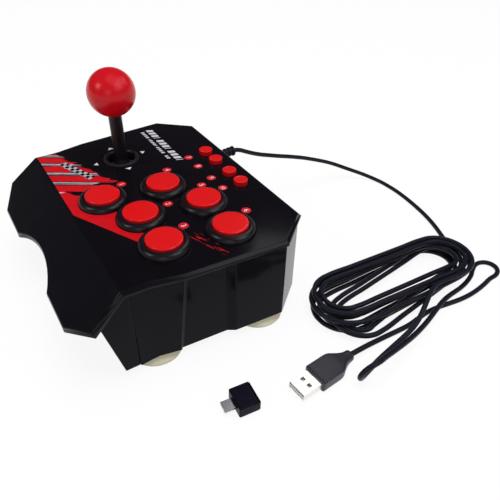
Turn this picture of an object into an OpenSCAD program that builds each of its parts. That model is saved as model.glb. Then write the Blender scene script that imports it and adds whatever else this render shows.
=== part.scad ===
// Arcade fight stick: black housing on four suction feet, ball-top lever on the user's left,
// six large buttons, four small keys, and a cable with a USB plug and a loose phone adapter.
// X is the user's right, Y points away from the user, Z is up, and the feet stand on Z = 0.

/* [Body] */
// Overall width of the top cover
body_w = 173.4; // [160:0.2:200]
// Overall depth of the top cover, from the wrist apron's lobes to the back edge
body_d = 143; // [136:0.5:160]
// Height of the flat top above the surface it stands on
top_h = 61.7; // [60:0.1:72]
// Thickness of the top cover
cover_t = 3.4; // [2.8:0.1:4]
// Width of the bevel along the cover's upper edge
bevel = 1.8; // [0.8:0.1:2.2]
// Slope of the wrist apron below the flat top, in degrees
apron_angle = 40.4; // [34:0.2:44]
// Thickness of the tub's walls
wall_t = 2.4; // [1.8:0.1:3]
// Thickness of the tub's floor
floor_t = 2.4; // [2:0.1:3]
// How far the tub's walls stand in from the cover's edge
wall_inset = 1.3; // [1:0.1:1.6]
// Depth of the shallow recess in each side wall
recess_depth = 2.5; // [1:0.1:3]
// Lean of the tub's front wall from upright, in degrees
front_lean = 12.9; // [8:0.1:16]

/* [Feet] */
// Radius of a suction foot's rim
foot_r = 15.5; // [12:0.1:16]
// Height of a suction foot below the tub
foot_h = 5.6; // [5:0.1:8]
// Radius of a suction foot's stem
foot_stem_r = 2.9; // [2:0.1:3.5]

/* [Lever] */
// Radius of the ball top
ball_r = 15; // [13:0.1:17.5]
// Height of the ball's centre above the flat top
ball_rise = 45.9; // [40:0.1:52]
// Radius of the steel shaft
shaft_r = 3; // [2.6:0.05:3.4]
// Radius of the sleeve over the shaft
sleeve_r = 4.2; // [3.7:0.05:4.2]
// Depth of the lever's pivot below the flat top
pivot_drop = 15.7; // [15:0.1:17]
// Largest tilt of the lever to each side, in degrees
lever_tilt = 11; // [8:0.5:11]
// Radius of the raised collar round the lever's hole
collar_r = 11.8; // [11.4:0.1:13]
// Height of the raised collar
collar_h = 1.2; // [0.6:0.1:1.4]

/* [Buttons] */
// Radius of a large button's cap
cap_r = 10.26; // [9.5:0.02:10.3]
// Height of a large cap above the flat top
cap_rise = 5.2; // [5.1:0.1:6]
// Travel of a large button
cap_travel = 2; // [1:0.1:2]
// Outer radius of a large button's rim
rim_r = 14.65; // [14:0.05:14.8]
// Height of a large button's rim
rim_h = 3.9; // [2:0.1:4]
// Radius of a small key
key_r = 4.5; // [3.5:0.05:4.6]
// Height of a small key above the flat top
key_rise = 2.8; // [2:0.1:3.4]
// Travel of a small key
key_travel = 0.8; // [0.4:0.05:0.8]

/* [Cable] */
// Diameter of the cable
cord_d = 3.2; // [2.8:0.1:3.4]
// Width of the USB plug's metal shell
usb_w = 12; // [11.8:0.05:12.1]
// Height of the USB plug's metal shell
usb_h = 4.5; // [4.4:0.05:4.6]
// Exposed length of the USB plug's metal shell
usb_l = 13; // [12:0.1:14]

/* [Hidden] */

$fn = 64;
// Overrun of every cut past the face it leaves
over = body_w / 1000;
// Clearance of a pin, screw or plug in its hole
fit = 0.05;
// Clearance of a loose or sliding piece
slip = 0.14;
// Clearance between pieces that must never touch
air = 0.3;

// Heights of the cover and the tub
cover_low = top_h - cover_t;
tub_low = foot_h;
floor_top = tub_low + floor_t;
half_w = body_w / 2;
half_d = body_d / 2;

// Right half of the cover's outline, as shares of half the width and half the depth, back to front
rim_shares = [[0.784, 1], [1, 0.692], [0.975, 0.245], [0.95, -0.161], [0.909, -0.399], [0.904, -0.61]];
crease_y = rim_shares[5][1] * half_d;
crease_x = rim_shares[5][0] * half_w;
// Length of the apron along its slope, out to the lobes' tips
apron_l = (half_d + crease_y + bevel * sin(apron_angle)) / cos(apron_angle);
// Right half of the apron's outline, as shares of half the width and of the apron's length
lobe_shares = [[0.942, 0.65], [0.713, 1]];
// The wrist notch between the lobes, an arc: half width and rise, and its count of points
notch_w = 0.358 * half_w;
notch_l = 0.25 * apron_l;
notch_steps = 6;

function half(points, side) = [for (p = points) [side * p[0] * half_w, p[1] * half_d]];
function backwards(list) = [for (i = [len(list) - 1:-1:0]) list[i]];
panel_pts = concat(half(rim_shares, 1), backwards(half(rim_shares, -1)));

// Apron outline in its own plane: X across, Y from the crease (0) down the slope (negative)
lobe_pts = [for (p = lobe_shares) [p[0] * half_w, -p[1] * apron_l]];
notch_r = (notch_w * notch_w + notch_l * notch_l) / (2 * notch_l);
notch_a = asin(notch_w / notch_r);
notch_pts = [for (i = [notch_steps:-1:0]) let (a = notch_a * i / notch_steps)
    [notch_r * sin(a), notch_r * (cos(a) - cos(notch_a)) - apron_l]];
apron_half = concat([[crease_x, 0]], lobe_pts, notch_pts);
apron_pts = concat(apron_half, backwards([for (p = apron_half) if (p[0] > over) [-p[0], p[1]]]));

// Corner of an outline moved in by one distance along the edge before it and one along the edge after
function unit(v) = v / norm(v);
function inward(a, b) = let (u = unit(b - a)) [u[1], -u[0]];
function corner_shift(n1, n2, d1, d2) = let (c = n1 * n2)
    (c > 0.9995 ? n1 * (d1 + d2) / 2 : ((d1 - d2 * c) * n1 + (d2 - d1 * c) * n2) / (1 - c * c));
function inset(pts, ds) = let (n = len(pts)) [for (i = [0:n - 1])
    let (a = pts[(i + n - 1) % n], b = pts[i], c = pts[(i + 1) % n])
    b + corner_shift(inward(a, b), inward(b, c), ds[(i + n - 1) % n], ds[i])];
function same(n, d) = [for (i = [0:n - 1]) d];

// Ring of the cover's points at one depth below its surface, from its flat and sloped outlines
crease_i = len(rim_shares) - 1;
function slope(p, drop) = [p[0], crease_y + p[1] * cos(apron_angle) + drop * sin(apron_angle),
    top_h + p[1] * sin(apron_angle) - drop * cos(apron_angle)];
function crease(p, drop) = [p[0], crease_y + drop * tan(apron_angle / 2), top_h - drop];
function flat(p, drop) = [p[0], p[1], top_h - drop];
function cover_ring(panel, apron, drop) = let (n = len(panel), m = len(apron)) concat(
    [for (i = [0:crease_i - 1]) flat(panel[i], drop)], [crease(panel[crease_i], drop)],
    [for (i = [1:m - 2]) slope(apron[i], drop)],
    [crease(panel[crease_i + 1], drop)], [for (i = [crease_i + 2:n - 1]) flat(panel[i], drop)]);

// Same face seen from behind, with its first corner kept
function turned_over(f) = concat([f[0]], backwards([for (i = [1:len(f) - 1]) f[i]]));

// Shell of the cover: flat top and sloped apron in one piece, with a bevel along its outer edge
module cover_shell() {
    n = len(panel_pts);
    m = len(apron_pts);
    top_panel = inset(panel_pts, [for (i = [0:n - 1]) i == crease_i ? 0 : bevel]);
    top_apron = inset(apron_pts, [for (i = [0:m - 1]) i == m - 1 ? 0 : bevel]);
    low = cover_ring(panel_pts, apron_pts, cover_t);
    mid = cover_ring(panel_pts, apron_pts, bevel);
    top = cover_ring(top_panel, top_apron, 0);
    k = len(low);
    on_panel = concat([for (i = [0:crease_i]) i], [for (i = [k - crease_i - 1:k - 1]) i]);
    // The notch makes the apron hollow, so it is three faces, each a fan from an end of the crease
    last = k - crease_i - 1;
    middle = (k - 1) / 2;
    on_apron = [[for (i = [crease_i:middle]) i], [crease_i, middle, last],
        concat([last], [for (i = [middle:last - 1]) i])];
    sides = [for (r = [0, k]) for (i = [0:k - 1]) let (j = (i + 1) % k)
        each [[r + i, r + i + k, r + j + k], [r + i, r + j + k, r + j]]];
    polyhedron(concat(low, mid, top), concat(sides,
        [backwards(on_panel)], [for (f = on_apron) turned_over(f)],
        [[for (i = on_panel) i + 2 * k]], [for (f = on_apron) [for (i = f) i + 2 * k]]));
}

// Tub outline in plan, the cover's outline moved in, and its front run under the apron
wall_pts = inset(panel_pts, same(len(panel_pts), wall_inset));
room_pts = inset(wall_pts, same(len(wall_pts), wall_t));
front_run = apron_l;

// Side profile of the tub
apron_rise = tan(apron_angle);
cover_drop = cover_t / cos(apron_angle);
tub_front_y = -0.677 * half_d;
// Height on the front wall's line where it meets the apron's underside
lean = tan(front_lean);
front_top_z = (top_h - cover_drop + (tub_front_y + tub_low * lean - crease_y) * apron_rise)
    / (1 + lean * apron_rise);
front_top_y = tub_front_y - (front_top_z - tub_low) * lean;
crease_low_y = crease_y + cover_t * tan(apron_angle / 2);

// Case screws: places as shares of half the width and depth, and their sizes
screw_shares = [[0.738, -0.52], [-0.738, -0.52], [0.2, -0.52], [-0.2, -0.52], [0.669, 0.853], [-0.669, 0.853]];
screw_places = [for (s = screw_shares) [s[0] * half_w, s[1] * half_d]];
post_r = 4.3;
screw_r = 1.5;
screw_head_r = 2.9;
screw_head_h = 2;
screw_seat_t = 12;
screw_top_drop = 15.7;
post_meet_share = 0.5;
post_meet_z = floor_top + post_meet_share * (cover_low - floor_top);
screw_seat_z = post_meet_z - screw_seat_t;
screw_top_z = top_h - screw_top_drop;

// Suction feet: places as shares, and the sizes of their stems
foot_shares = [[0.741, -0.357], [0.813, 0.566]];
foot_front = [foot_shares[0][0] * half_w, foot_shares[0][1] * half_d];
foot_back = [foot_shares[1][0] * half_w, foot_shares[1][1] * half_d];
foot_neck_r = 4.4;
foot_head_r = 4;
foot_head_h = 1.8;
foot_lip_t = 0.6;
foot_hollow_h = 3;

// Recess in a side wall: its ends along the depth, and how far they run along the wall for their depth
recess_front_low_share = -0.238;
recess_front_high_share = -0.161;
recess_back_share = 0.238;
recess_front_run = 1;
recess_back_run = 1.6;
// Line of the recess's floor in plan, at one depth along the body
recess_slope = (rim_shares[2][0] - rim_shares[3][0]) * half_w / ((rim_shares[2][1] - rim_shares[3][1]) * half_d);
function recess_x(y) = rim_shares[3][0] * half_w - wall_inset - recess_depth
    + recess_slope * (y - rim_shares[3][1] * half_d);

// Lever: place, and the sizes of what hangs below the cover
stick_x = -0.54 * half_w;
stick_y = 0.081 * half_d;
pivot_z = top_h - pivot_drop;
ball_z = top_h + ball_rise;
ball_flat = 0.7;
ball_low_z = ball_z - ball_r + ball_flat;
shaft_top_z = ball_z - ball_r / 2;
shaft_reach = 23.7;
shaft_low_z = pivot_z - shaft_reach;
shaft_bore_r = shaft_r + fit;
collar_in_r = 9.2;
spigot_r = 10.1;
dome_r = 13.5;
dome_t = 1.2;
dome_rim_r = 12;
dome_hub_r = 4.8;
dome_hole_a = 6;
dome_seat_a = 8;
dome_steps = 8;
flare_r = 5.4;
flare_h = 3.2;
hub_r = 5.2;
hub_up = 5;
hub_down = 4.5;
ring_out_r = 11;
ring_in_r = 7;
ring_h = 5;
ring_pin_r = 1.5;
hub_pin_r = 1.25;
hub_pin_l = 10.8;
box_half = 17.8;
box_t = 2.4;
box_in = box_half - box_t;
box_drop = 21.5;
box_low_z = pivot_z - box_drop;
shelf_t = 2.2;
shelf_half = 9.3;
corner_post = 4.5;
flange_t = 2.5;
flange_y = 27;
flange_x = 18.5;
flange_drop = 2.3;
flange_top_z = cover_low - flange_drop;
flange_hole_r = dome_r + air;
stick_screw_x = 12;
stick_screw_y = 22.8;
stick_screw_r = 1.4;
stick_screw_head_r = 2.6;
stick_screw_head_h = 1.7;
stick_screw_l = 6.5;
stick_post_r = 3.6;
gate_t = 2.3;
gate_half = shaft_reach * sin(lever_tilt) + shaft_r * cos(lever_tilt) + air;
gate_low_z = box_low_z - gate_t - slip;
gate_screw_r = 0.9;
gate_screw_head_r = 1.9;
gate_screw_head_h = 1.2;
gate_screw_l = 8;
gate_screw_xy = box_in - corner_post / 2;
actuator_r = 5.5;
actuator_h = 6;
actuator_drop = 18.6;
actuator_low_z = pivot_z - actuator_drop;
clip_t = 0.8;
clip_r = 4.6;
groove_r = 2.4;
groove_w = 1;
spring_wire = 0.45;
stick_spring_r = 4.2;
stick_spring_turns = 4;
switch_w = 12.8;
switch_d = 5.8;
switch_h = 6.4;
switch_pin_r = 0.7;

// Large buttons: places as shares of half the width and depth
button_shares = [[-0.033, -0.319], [0.285, -0.145], [0.631, -0.137],
    [0.02, 0.199], [0.347, 0.383], [0.699, 0.387]];
button_places = [for (s = button_shares) [s[0] * half_w, s[1] * half_d]];
cap_round = 0.8;
cap_top_t = 2.6;
cap_wall = 1.45;
cap_lip = 0.54;
cap_lip_h = 1.4;
cap_skirt = 7;
cap_stem_r = 2.4;
barrel_r = 12.2;
barrel_h = 16;
barrel_floor = 2;
rim_crest_share = 0.28;
rim_steps = 6;
button_hole_r = barrel_r + slip;
button_spring_r = 4.6;
button_wire = 0.5;
button_spring_turns = 5;

// Main board under the buttons
board_t = 1.6;
board_drop = 24.7;
board_top_z = top_h - board_drop;
board_low_x = -0.185 * half_w;
board_high_x = 0.795 * half_w;
board_low_y = -0.43 * half_d;
board_high_y = 0.56 * half_d;
board_post_r = 3;
board_post_shares = [[-0.144, 0.035], [0.323, 0.119], [0.755, 0.07], [0.438, -0.36], [0.092, 0.517]];
board_posts = [for (s = board_post_shares) [s[0] * half_w, s[1] * half_d]];
board_screw_r = 1.2;
board_screw_head_r = 2.5;
board_screw_head_h = 1.5;
board_screw_l = 8;
tact_w = 6;
tact_h = 3.6;
tact_pin_r = 1.75;
tact_pin_h = 0.9;
cap_stem_low = top_h - board_top_z - tact_h - tact_pin_h - cap_travel - air;
chip_w = 10;
chip_h = 1.2;
chip_x_share = 0.22;
chip_y_share = -0.2;

// Small keys: places, and the board below them
key_x_shares = [-0.284, -0.123, 0.084, 0.246];
key_y = 0.818 * half_d;
key_places = [for (s = key_x_shares) [s * half_w, key_y]];
key_hole_r = key_r + slip;
key_flange_w = 0.8;
key_flange_r = key_r + key_flange_w;
key_flange_t = 1.2;
key_stem_r = 1.6;
key_dish = 0.35;
key_edge = 0.9;
key_board_drop = 10;
key_board_top_z = top_h - key_board_drop;
key_tact_h = 3.4;
key_board_low_x = -0.484 * half_w;
key_board_high_x = 0.41 * half_w;
key_board_low_y = 0.72 * half_d;
key_board_high_y = 0.872 * half_d;
key_post_r = 2.4;
key_post_shares = [[-0.45, 0.8], [-0.0195, 0.8], [0.36, 0.8]];
key_posts = [for (s = key_post_shares) [s[0] * half_w, s[1] * half_d]];

// Strain relief in the back wall
relief_x = -0.338 * half_w;
relief_drop = 3.8;
relief_z = cover_low - relief_drop;
relief_r = 2.6;
relief_rib_r = 3.5;
relief_l = 12;
relief_flange_r = 3.6;
relief_flange_t = 1.4;
relief_ribs = 4;
back_wall_y = half_d - wall_inset;

// Cable route from the strain relief down to the floor and round to the hank
lead_points = [
    [-29.3, 83.55, 54.5], [-29.3, 85.2, 54.5], [-29.3, 89.2, 53.4], [-29.3, 94.2, 50.9],
    [-29.4, 100, 48],
    [-29.6, 108, 44.5], [-29.8, 116.5, 41.4], [-29.9, 125, 38.4], [-30, 133.5, 35.6],
    [-30, 142, 32.7], [-30, 150.5, 29.6], [-30, 159, 26.1], [-29.8, 167.5, 22.5],
    [-29.3, 176, 18.8], [-28, 184.4, 14.8], [-25.6, 192.4, 10.8], [-21.8, 200, 7.4],
    [-16.4, 206.8, 4.7], [-9.4, 212, 2.8], [-1.2, 215.2, 1.9], [7.8, 216.4, 1.6],
    [17, 216.5, 1.6], [26.2, 215.7, 1.6], [35.4, 214.4, 1.6], [44.5, 212.7, 1.6],
    [53.5, 210.6, 1.6], [62.3, 207.9, 1.6], [70.9, 204.6, 1.6], [79.2, 200.9, 1.6],
    [87.4, 197.4, 1.6], [96, 194.4, 1.6], [104.2, 191.2, 1.6], [111, 186.6, 1.6],
    [115.6, 180.6, 1.6], [117.5, 174.4, 1.6], [117.68, 169.36, 1.6]];

// Cable route from the hank down, out to a long fold, round a loose loop and back to the plug
tail_points = [
    [122.7, 146.6, 13.9], [122.9, 141.6, 13.9], [124.7, 135.6, 13.8], [127.6, 129.8, 13.2],
    [130.6, 124.2, 12], [133.3, 118.9, 10.2], [135.5, 113.6, 8.1], [137, 107.8, 5.9],
    [137.9, 100.8, 3.7], [138.9, 92.4, 2.1], [140.4, 83.6, 1.6], [142.2, 75.2, 1.6],
    [144, 68.4, 1.6], [145.3, 63.2, 1.7], [146.6, 59.3, 3], [147.7, 56.9, 6.2],
    [148.6, 56.9, 10.3], [149.4, 59.3, 13.6], [149.8, 63.2, 14.9], [149.6, 68, 14.7],
    [148.5, 73, 13.7], [146.9, 81.8, 11.9], [144.9, 92.1, 9.8], [142.6, 102.6, 7.9],
    [139.8, 113, 6.4], [136.6, 123.4, 5.5], [133.2, 133.5, 5.3], [130.4, 142.6, 5.3],
    [128.6, 150.8, 4.6], [127.2, 158.8, 3.2], [125.8, 166.4, 1.9], [123.9, 174.8, 1.6],
    [121.2, 182.4, 1.6], [117.6, 188.8, 1.6], [115.2, 195.2, 1.6], [115.7, 200, 1.6],
    [118.6, 203.8, 1.6], [123.1, 204.9, 1.6], [127.3, 202.7, 1.6], [129.6, 198.2, 1.6],
    [130.2, 191, 1.6], [131.8, 182.4, 1.6], [133, 173.6, 1.6], [133.4, 164.4, 1.6],
    [132.8, 155.4, 1.6], [131.6, 147.4, 1.6], [130.4, 139.2, 1.6], [129.9, 130.2, 1.6],
    [130.7, 121, 1.6], [131.6, 112.4, 1.6], [131.5, 104, 1.6], [131, 95.4, 1.6],
    [130.9, 86.6, 2.1], [131.3, 77.8, 3.3], [131.6, 70.6, 3.9], [131.7, 64.4, 4]];

// Hank of cable: counts, run and layers, and each layer's place and turn
hank_turns = 8;
hank_steps = 24;
hank_layer_turns = 2;
hank_half_run = 41;
hank_in_r = 12;
hank_pitch = 4.2;
hank_layer_h = 4.1;
hank_centres = [[98, 128], [107, 130], [100, 126], [101, 127]];
hank_angles = [1, 7, -2, -4];
hank_shift_from = -0.19;
hank_shift_to = 0.28;
hank_climb_from = -0.27;
hank_climb_to = 0.08;
hank_probe_skip = 20;

// USB plug: place of the body's front face and heading, and the body's sizes
plug_x = 134.2;
plug_y = 36.3;
plug_turn = 5;
plug_w = 15.2;
plug_h = 8;
plug_l = 27.8;
plug_z = plug_h / 2;
plug_neck_w = 6.4;
plug_profile_shares = [[1, 0], [1, 0.52], [0.93, 0.6], [0.66, 0.72], [0.47, 0.84], [0.42, 1]];
usb_wall = 0.4;
usb_tongue_h = 1.84;
usb_window = 2.2;
usb_window_gap = 5.2;
usb_window_in = 7.4;

// Adapter lying by itself: place and heading, and its sizes
adapter_x = 125;
adapter_y = -2.8;
adapter_turn = -6;
adapter_w = 14.4;
adapter_l = 12;
adapter_h = 7.6;
adapter_socket_w = usb_w + air;
adapter_socket_h = usb_h + 2 * air;
adapter_socket_l = 9.4;
adapter_round = 1.2;
micro_w = 6.85;
micro_h = 1.8;
micro_l = 6.4;
micro_chamfer = 0.6;

// Leads inside the tub: places as shares of half the width, half the depth and the board's drop
inner_d = 2.6;
inner_cable_shares = [
    [-0.338, 0.897, 0.2915], [-0.3576, 0.8587, 0.2915], [-0.3875, 0.8084, 0.2915], [-0.3945, 0.7329, 0.2955],
    [-0.3875, 0.6573, 0.3765], [-0.3622, 0.5958, 0.5628], [-0.3183, 0.5427, 0.7571],
    [-0.2584, 0.5035, 0.8704], [-0.1915, 0.4839, 0.919], [-0.1269, 0.4783, 0.9271]];
inner_stick_shares = [
    [-0.2884, 0.0056, 1.2551], [-0.2491, 0.014, 1.17], [-0.2284, 0.0336, 1.0243],
    [-0.203, 0.066, 0.9109], [-0.1592, 0.1, 0.9028], [-0.113, 0.1231, 0.9352]];
inner_key_shares = [
    [-0.2307, 0.7608, 0.4777], [-0.2307, 0.7524, 0.6194], [-0.2307, 0.7133, 0.7571],
    [-0.2145, 0.649, 0.83], [-0.1892, 0.579, 0.8704], [-0.1569, 0.5371, 0.919],
    [-0.12, 0.5315, 0.9352]];
function inner_run(shares) = [for (s = shares) [s[0] * half_w, s[1] * half_d, top_h - s[2] * board_drop]];
inner_cable_points = concat([[relief_x, back_wall_y - wall_t - relief_flange_t - 2 * fit, relief_z]],
    inner_run(inner_cable_shares));
inner_stick_points = concat([[stick_x + box_half + slip, stick_y - switch_d, box_low_z + switch_h]],
    inner_run(inner_stick_shares));
inner_key_points = inner_run(inner_key_shares);

// Tube swept along a list of points, with its rings square to the route
function cross_unit(v) = let (c = cross(v, [0, 0, 1])) norm(c) > 0.001 ? unit(c) : [1, 0, 0];
function tangent(p, i) = let (n = len(p)) i == 0 ? unit(p[1] - p[0])
    : i == n - 1 ? unit(p[n - 1] - p[n - 2])
    : unit(unit(p[i] - p[i - 1]) + unit(p[i + 1] - p[i]));
module tube_along(p, r, sides) {
    n = len(p);
    rings = [for (i = [0:n - 1]) let (t = tangent(p, i), u = cross_unit(t), w = cross(t, u))
        for (k = [0:sides - 1]) let (a = 360 * (k + 0.5) / sides) p[i] + r * (cos(a) * u + sin(a) * w)];
    skin = [for (i = [0:n - 2]) for (k = [0:sides - 1])
        let (a = i * sides + k, b = i * sides + (k + 1) % sides)
        each [[a, b, a + sides], [b, b + sides, a + sides]]];
    first = [for (k = [1:sides - 2]) [0, k + 1, k]];
    last = [for (k = [1:sides - 2]) [(n - 1) * sides, (n - 1) * sides + k, (n - 1) * sides + k + 1]];
    polyhedron(rings, concat(skin, first, last));
}

// Helical spring with flat end turns
spring_steps = 8;
function helix(r, z0, h, turns) = [for (i = [0:turns * spring_steps])
    let (a = 360 * i / spring_steps) [r * cos(a), r * sin(a), z0 + h * i / (turns * spring_steps)]];

// Hank: place along its tube after a number of turns
function smooth(x) = let (c = max(0, min(1, x))) c * c * (3 - 2 * c);
function climbs(t, from, to) = let (layers = hank_turns / hank_layer_turns)
    [for (k = [1:layers - 1]) smooth((t - k * hank_layer_turns - from) / (to - from))]
    * [for (k = [1:layers - 1]) 1];
function blend(list, s) = let (i = min(floor(s), len(list) - 1), j = min(i + 1, len(list) - 1))
    list[i] * (1 - s + i) + list[j] * (s - i);
function oval(f, r) =
    f < 1 / 6 ? [r, hank_half_run * (1 - 12 * f)]
    : f < 1 / 2 ? let (a = -540 * (f - 1 / 6)) [r * cos(a), r * sin(a) - hank_half_run]
    : f < 2 / 3 ? [-r, hank_half_run * (12 * (f - 1 / 2) - 1)]
    : let (a = 180 - 540 * (f - 2 / 3)) [r * cos(a), r * sin(a) + hank_half_run];
function hank_place(t) = let (
    s = climbs(t, hank_shift_from, hank_shift_to),
    c = blend(hank_centres, s), a = blend(hank_angles, s),
    w = t % (2 * hank_layer_turns), in_turns = min(w, 2 * hank_layer_turns - w),
    q = oval(t % 1, hank_in_r + hank_pitch * (hank_layer_turns - in_turns)))
    [c[0] + q[0] * cos(a) - q[1] * sin(a), c[1] + q[0] * sin(a) + q[1] * cos(a),
    cord_d / 2 + hank_layer_h * climbs(t, hank_climb_from, hank_climb_to)];
hank_points = [for (i = [0:hank_turns * hank_steps + 1]) hank_place(i / hank_steps)];
// Least gap of the hank to itself, between points more than four rings apart
hank_probe = [for (i = [0:len(hank_points) - 2]) for (k = [0:3])
    hank_points[i] + (hank_points[i + 1] - hank_points[i]) * k / 4];
hank_gap = min([for (i = [0:len(hank_probe) - 1]) min(concat([body_w],
    [for (j = [i + hank_probe_skip:len(hank_probe) - 1]) norm(hank_probe[i] - hank_probe[j])]))]) - cord_d;
echo(hank_gap = hank_gap);

// Screw with its head down, its shank pointing up from z
module screw(x, y, z, r, head_r, head_h, l) {
    translate([x, y, z - head_h]) difference() {
        cylinder(r = head_r, h = head_h);
        translate([0, 0, -over]) cylinder(r = head_r / 2, h = head_h / 2 + over, $fn = 6);
    }
    translate([x, y, z]) cylinder(r = r, h = l);
}

// Cover: flat top and apron with bevelled edges, bosses below, holes for lever, buttons and keys
module top_cover() color("#17161b") difference() {
    union() {
        cover_shell();
        for (p = screw_places) translate([p[0], p[1], post_meet_z])
            cylinder(r = post_r, h = cover_low - post_meet_z + over);
        for (p = board_posts) translate([p[0], p[1], board_top_z])
            cylinder(r = board_post_r, h = cover_low - board_top_z + over);
        for (p = key_posts) translate([p[0], p[1], key_board_top_z])
            cylinder(r = key_post_r, h = cover_low - key_board_top_z + over);
        for (x = [-stick_screw_x, stick_screw_x]) for (y = [-stick_screw_y, stick_screw_y])
            translate([stick_x + x, stick_y + y, flange_top_z])
                cylinder(r = stick_post_r, h = cover_low - flange_top_z + over);
    }
    for (p = button_places) translate([p[0], p[1], cover_low - over])
        cylinder(r = button_hole_r, h = cover_t + 2 * over);
    for (p = key_places) translate([p[0], p[1], cover_low - over])
        cylinder(r = key_hole_r, h = cover_t + 2 * over);
    translate([stick_x, stick_y, cover_low - over]) cylinder(r = spigot_r + slip, h = cover_t + 2 * over);
    for (p = screw_places) translate([p[0], p[1], post_meet_z - over])
        cylinder(r = screw_r + fit, h = screw_top_z - post_meet_z + air);
    for (p = board_posts) translate([p[0], p[1], board_top_z - over])
        cylinder(r = board_screw_r + fit, h = board_screw_l + air);
    for (p = key_posts) translate([p[0], p[1], key_board_top_z - over])
        cylinder(r = board_screw_r + fit, h = board_screw_l + air);
    for (x = [-stick_screw_x, stick_screw_x]) for (y = [-stick_screw_y, stick_screw_y])
        translate([stick_x + x, stick_y + y, flange_top_z - over])
            cylinder(r = stick_screw_r + fit, h = stick_screw_l - flange_t + air);
}

// Profile of the tub seen from the side, swept across
module tub_side() translate([-half_w, 0, 0]) rotate([90, 0, 90]) linear_extrude(body_w) polygon([
    [tub_front_y, tub_low], [front_top_y, front_top_z], [crease_low_y, cover_low], [half_d, cover_low],
    [half_d, tub_low]]);

// Profile of the room inside the tub, run on past its open top
module room_side() {
    function front(z) = tub_front_y - (z - tub_low) * lean + wall_t / cos(front_lean);
    translate([-half_w, 0, 0]) rotate([90, 0, 90]) linear_extrude(body_w) polygon([
        [front(floor_top), floor_top], [front(top_h), top_h], [half_d, top_h], [half_d, floor_top]]);
}

// Plan of the tub or its room, run on under the apron
module tub_plan(pts) {
    front_x = max([for (p = pts) if (p[1] < crease_y / 2) p[0]]);
    linear_extrude(top_h) {
        polygon(pts);
        translate([-front_x, crease_y - front_run]) square([2 * front_x, front_run + wall_inset + wall_t]);
    }
}

// Space that the shallow recess takes from the right wall, with slanted ends
module wall_recess(depth, grow) {
    x = half_w + wall_t;
    function inner(y) = recess_x(y) - depth;
    function end(y, run) = [[inner(y), y], [x, y + run * (x - inner(y))]];
    y0 = recess_front_low_share * half_d + recess_front_run * recess_depth - grow;
    y1 = recess_front_high_share * half_d + recess_front_run * recess_depth - grow;
    y2 = recess_back_share * half_d - recess_back_run * recess_depth + grow;
    function level(y, z) = [for (p = concat(end(y, -recess_front_run), backwards(end(y2, recess_back_run))))
        [p[0], p[1], z]];
    polyhedron(concat(level(y0, tub_low - over), level(y1, cover_low + over)),
        [[0, 1, 2, 3], [7, 6, 5, 4], [1, 0, 4, 5], [2, 1, 5, 6], [3, 2, 6, 7], [0, 3, 7, 4]]);
}

// Lower shell: walls with a recess on each side, floor, posts, and the holes for feet and cable
module base_tub() color("#1b1a1f") difference() {
    union() {
        difference() {
            intersection() { tub_plan(wall_pts); tub_side(); }
            difference() {
                intersection() { tub_plan(room_pts); room_side(); }
                for (side = [0, 1]) mirror([side, 0, 0]) wall_recess(wall_t, wall_t);
            }
        }
        for (p = screw_places) translate([p[0], p[1], tub_low]) cylinder(r = post_r, h = post_meet_z - tub_low);
    }
    for (side = [0, 1]) mirror([side, 0, 0]) {
        wall_recess(0, 0);
        for (p = [foot_front, foot_back]) translate([p[0], p[1], tub_low - over])
            cylinder(r = foot_stem_r + slip, h = floor_t + 2 * over);
    }
    for (p = screw_places) {
        translate([p[0], p[1], tub_low - over])
            cylinder(r = screw_head_r + air, h = screw_seat_z - tub_low + over);
        translate([p[0], p[1], screw_seat_z - over])
            cylinder(r = screw_r + slip, h = post_meet_z - screw_seat_z + 2 * over);
    }
    translate([relief_x, back_wall_y - wall_t - over, relief_z]) rotate([-90, 0, 0])
        cylinder(r = relief_r + slip, h = wall_t + 2 * over);
}

module case_screws() color("silver") for (p = screw_places)
    screw(p[0], p[1], screw_seat_z, screw_r, screw_head_r, screw_head_h, screw_top_z - screw_seat_z);

// Suction foot: dished rim, neck, and a stem with a head above the floor
module foot(side, p) color("#cfc9a8") translate([side * p[0], p[1], 0]) rotate_extrude() polygon([
    [0, foot_hollow_h], [foot_r * 0.4, foot_hollow_h * 0.8], [foot_r * 0.75, foot_hollow_h * 0.4],
    [foot_r - foot_lip_t, 0], [foot_r, 0], [foot_r, foot_lip_t], [foot_r * 0.8, foot_h * 0.42],
    [foot_r * 0.5, foot_h * 0.72], [foot_neck_r, foot_h * 0.88], [foot_neck_r, foot_h],
    [foot_stem_r, foot_h], [foot_stem_r, floor_top + fit], [foot_head_r, floor_top + fit],
    [foot_head_r * 0.85, floor_top + fit + foot_head_h * 0.7],
    [foot_head_r * 0.45, floor_top + fit + foot_head_h], [0, floor_top + fit + foot_head_h]]);
module foot_front_left() foot(-1, foot_front);
module foot_front_right() foot(1, foot_front);
module foot_back_left() foot(-1, foot_back);
module foot_back_right() foot(1, foot_back);

module at_stick(z) translate([stick_x, stick_y, z]) children();

module ball_top() color("#d31217") at_stick(0) difference() {
    translate([0, 0, ball_z]) sphere(r = ball_r, $fn = 96);
    translate([-ball_r, -ball_r, ball_low_z - ball_r]) cube([2 * ball_r, 2 * ball_r, ball_r]);
    translate([0, 0, ball_low_z - over]) cylinder(r = shaft_r + fit, h = shaft_top_z - ball_low_z + over);
}

module stick_shaft() color("silver") at_stick(0) difference() {
    translate([0, 0, shaft_low_z]) cylinder(r = shaft_r, h = shaft_top_z - shaft_low_z);
    translate([0, 0, actuator_low_z - groove_w]) difference() {
        cylinder(r = shaft_r + over, h = groove_w);
        translate([0, 0, -over]) cylinder(r = groove_r, h = groove_w + 2 * over);
    }
}

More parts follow.
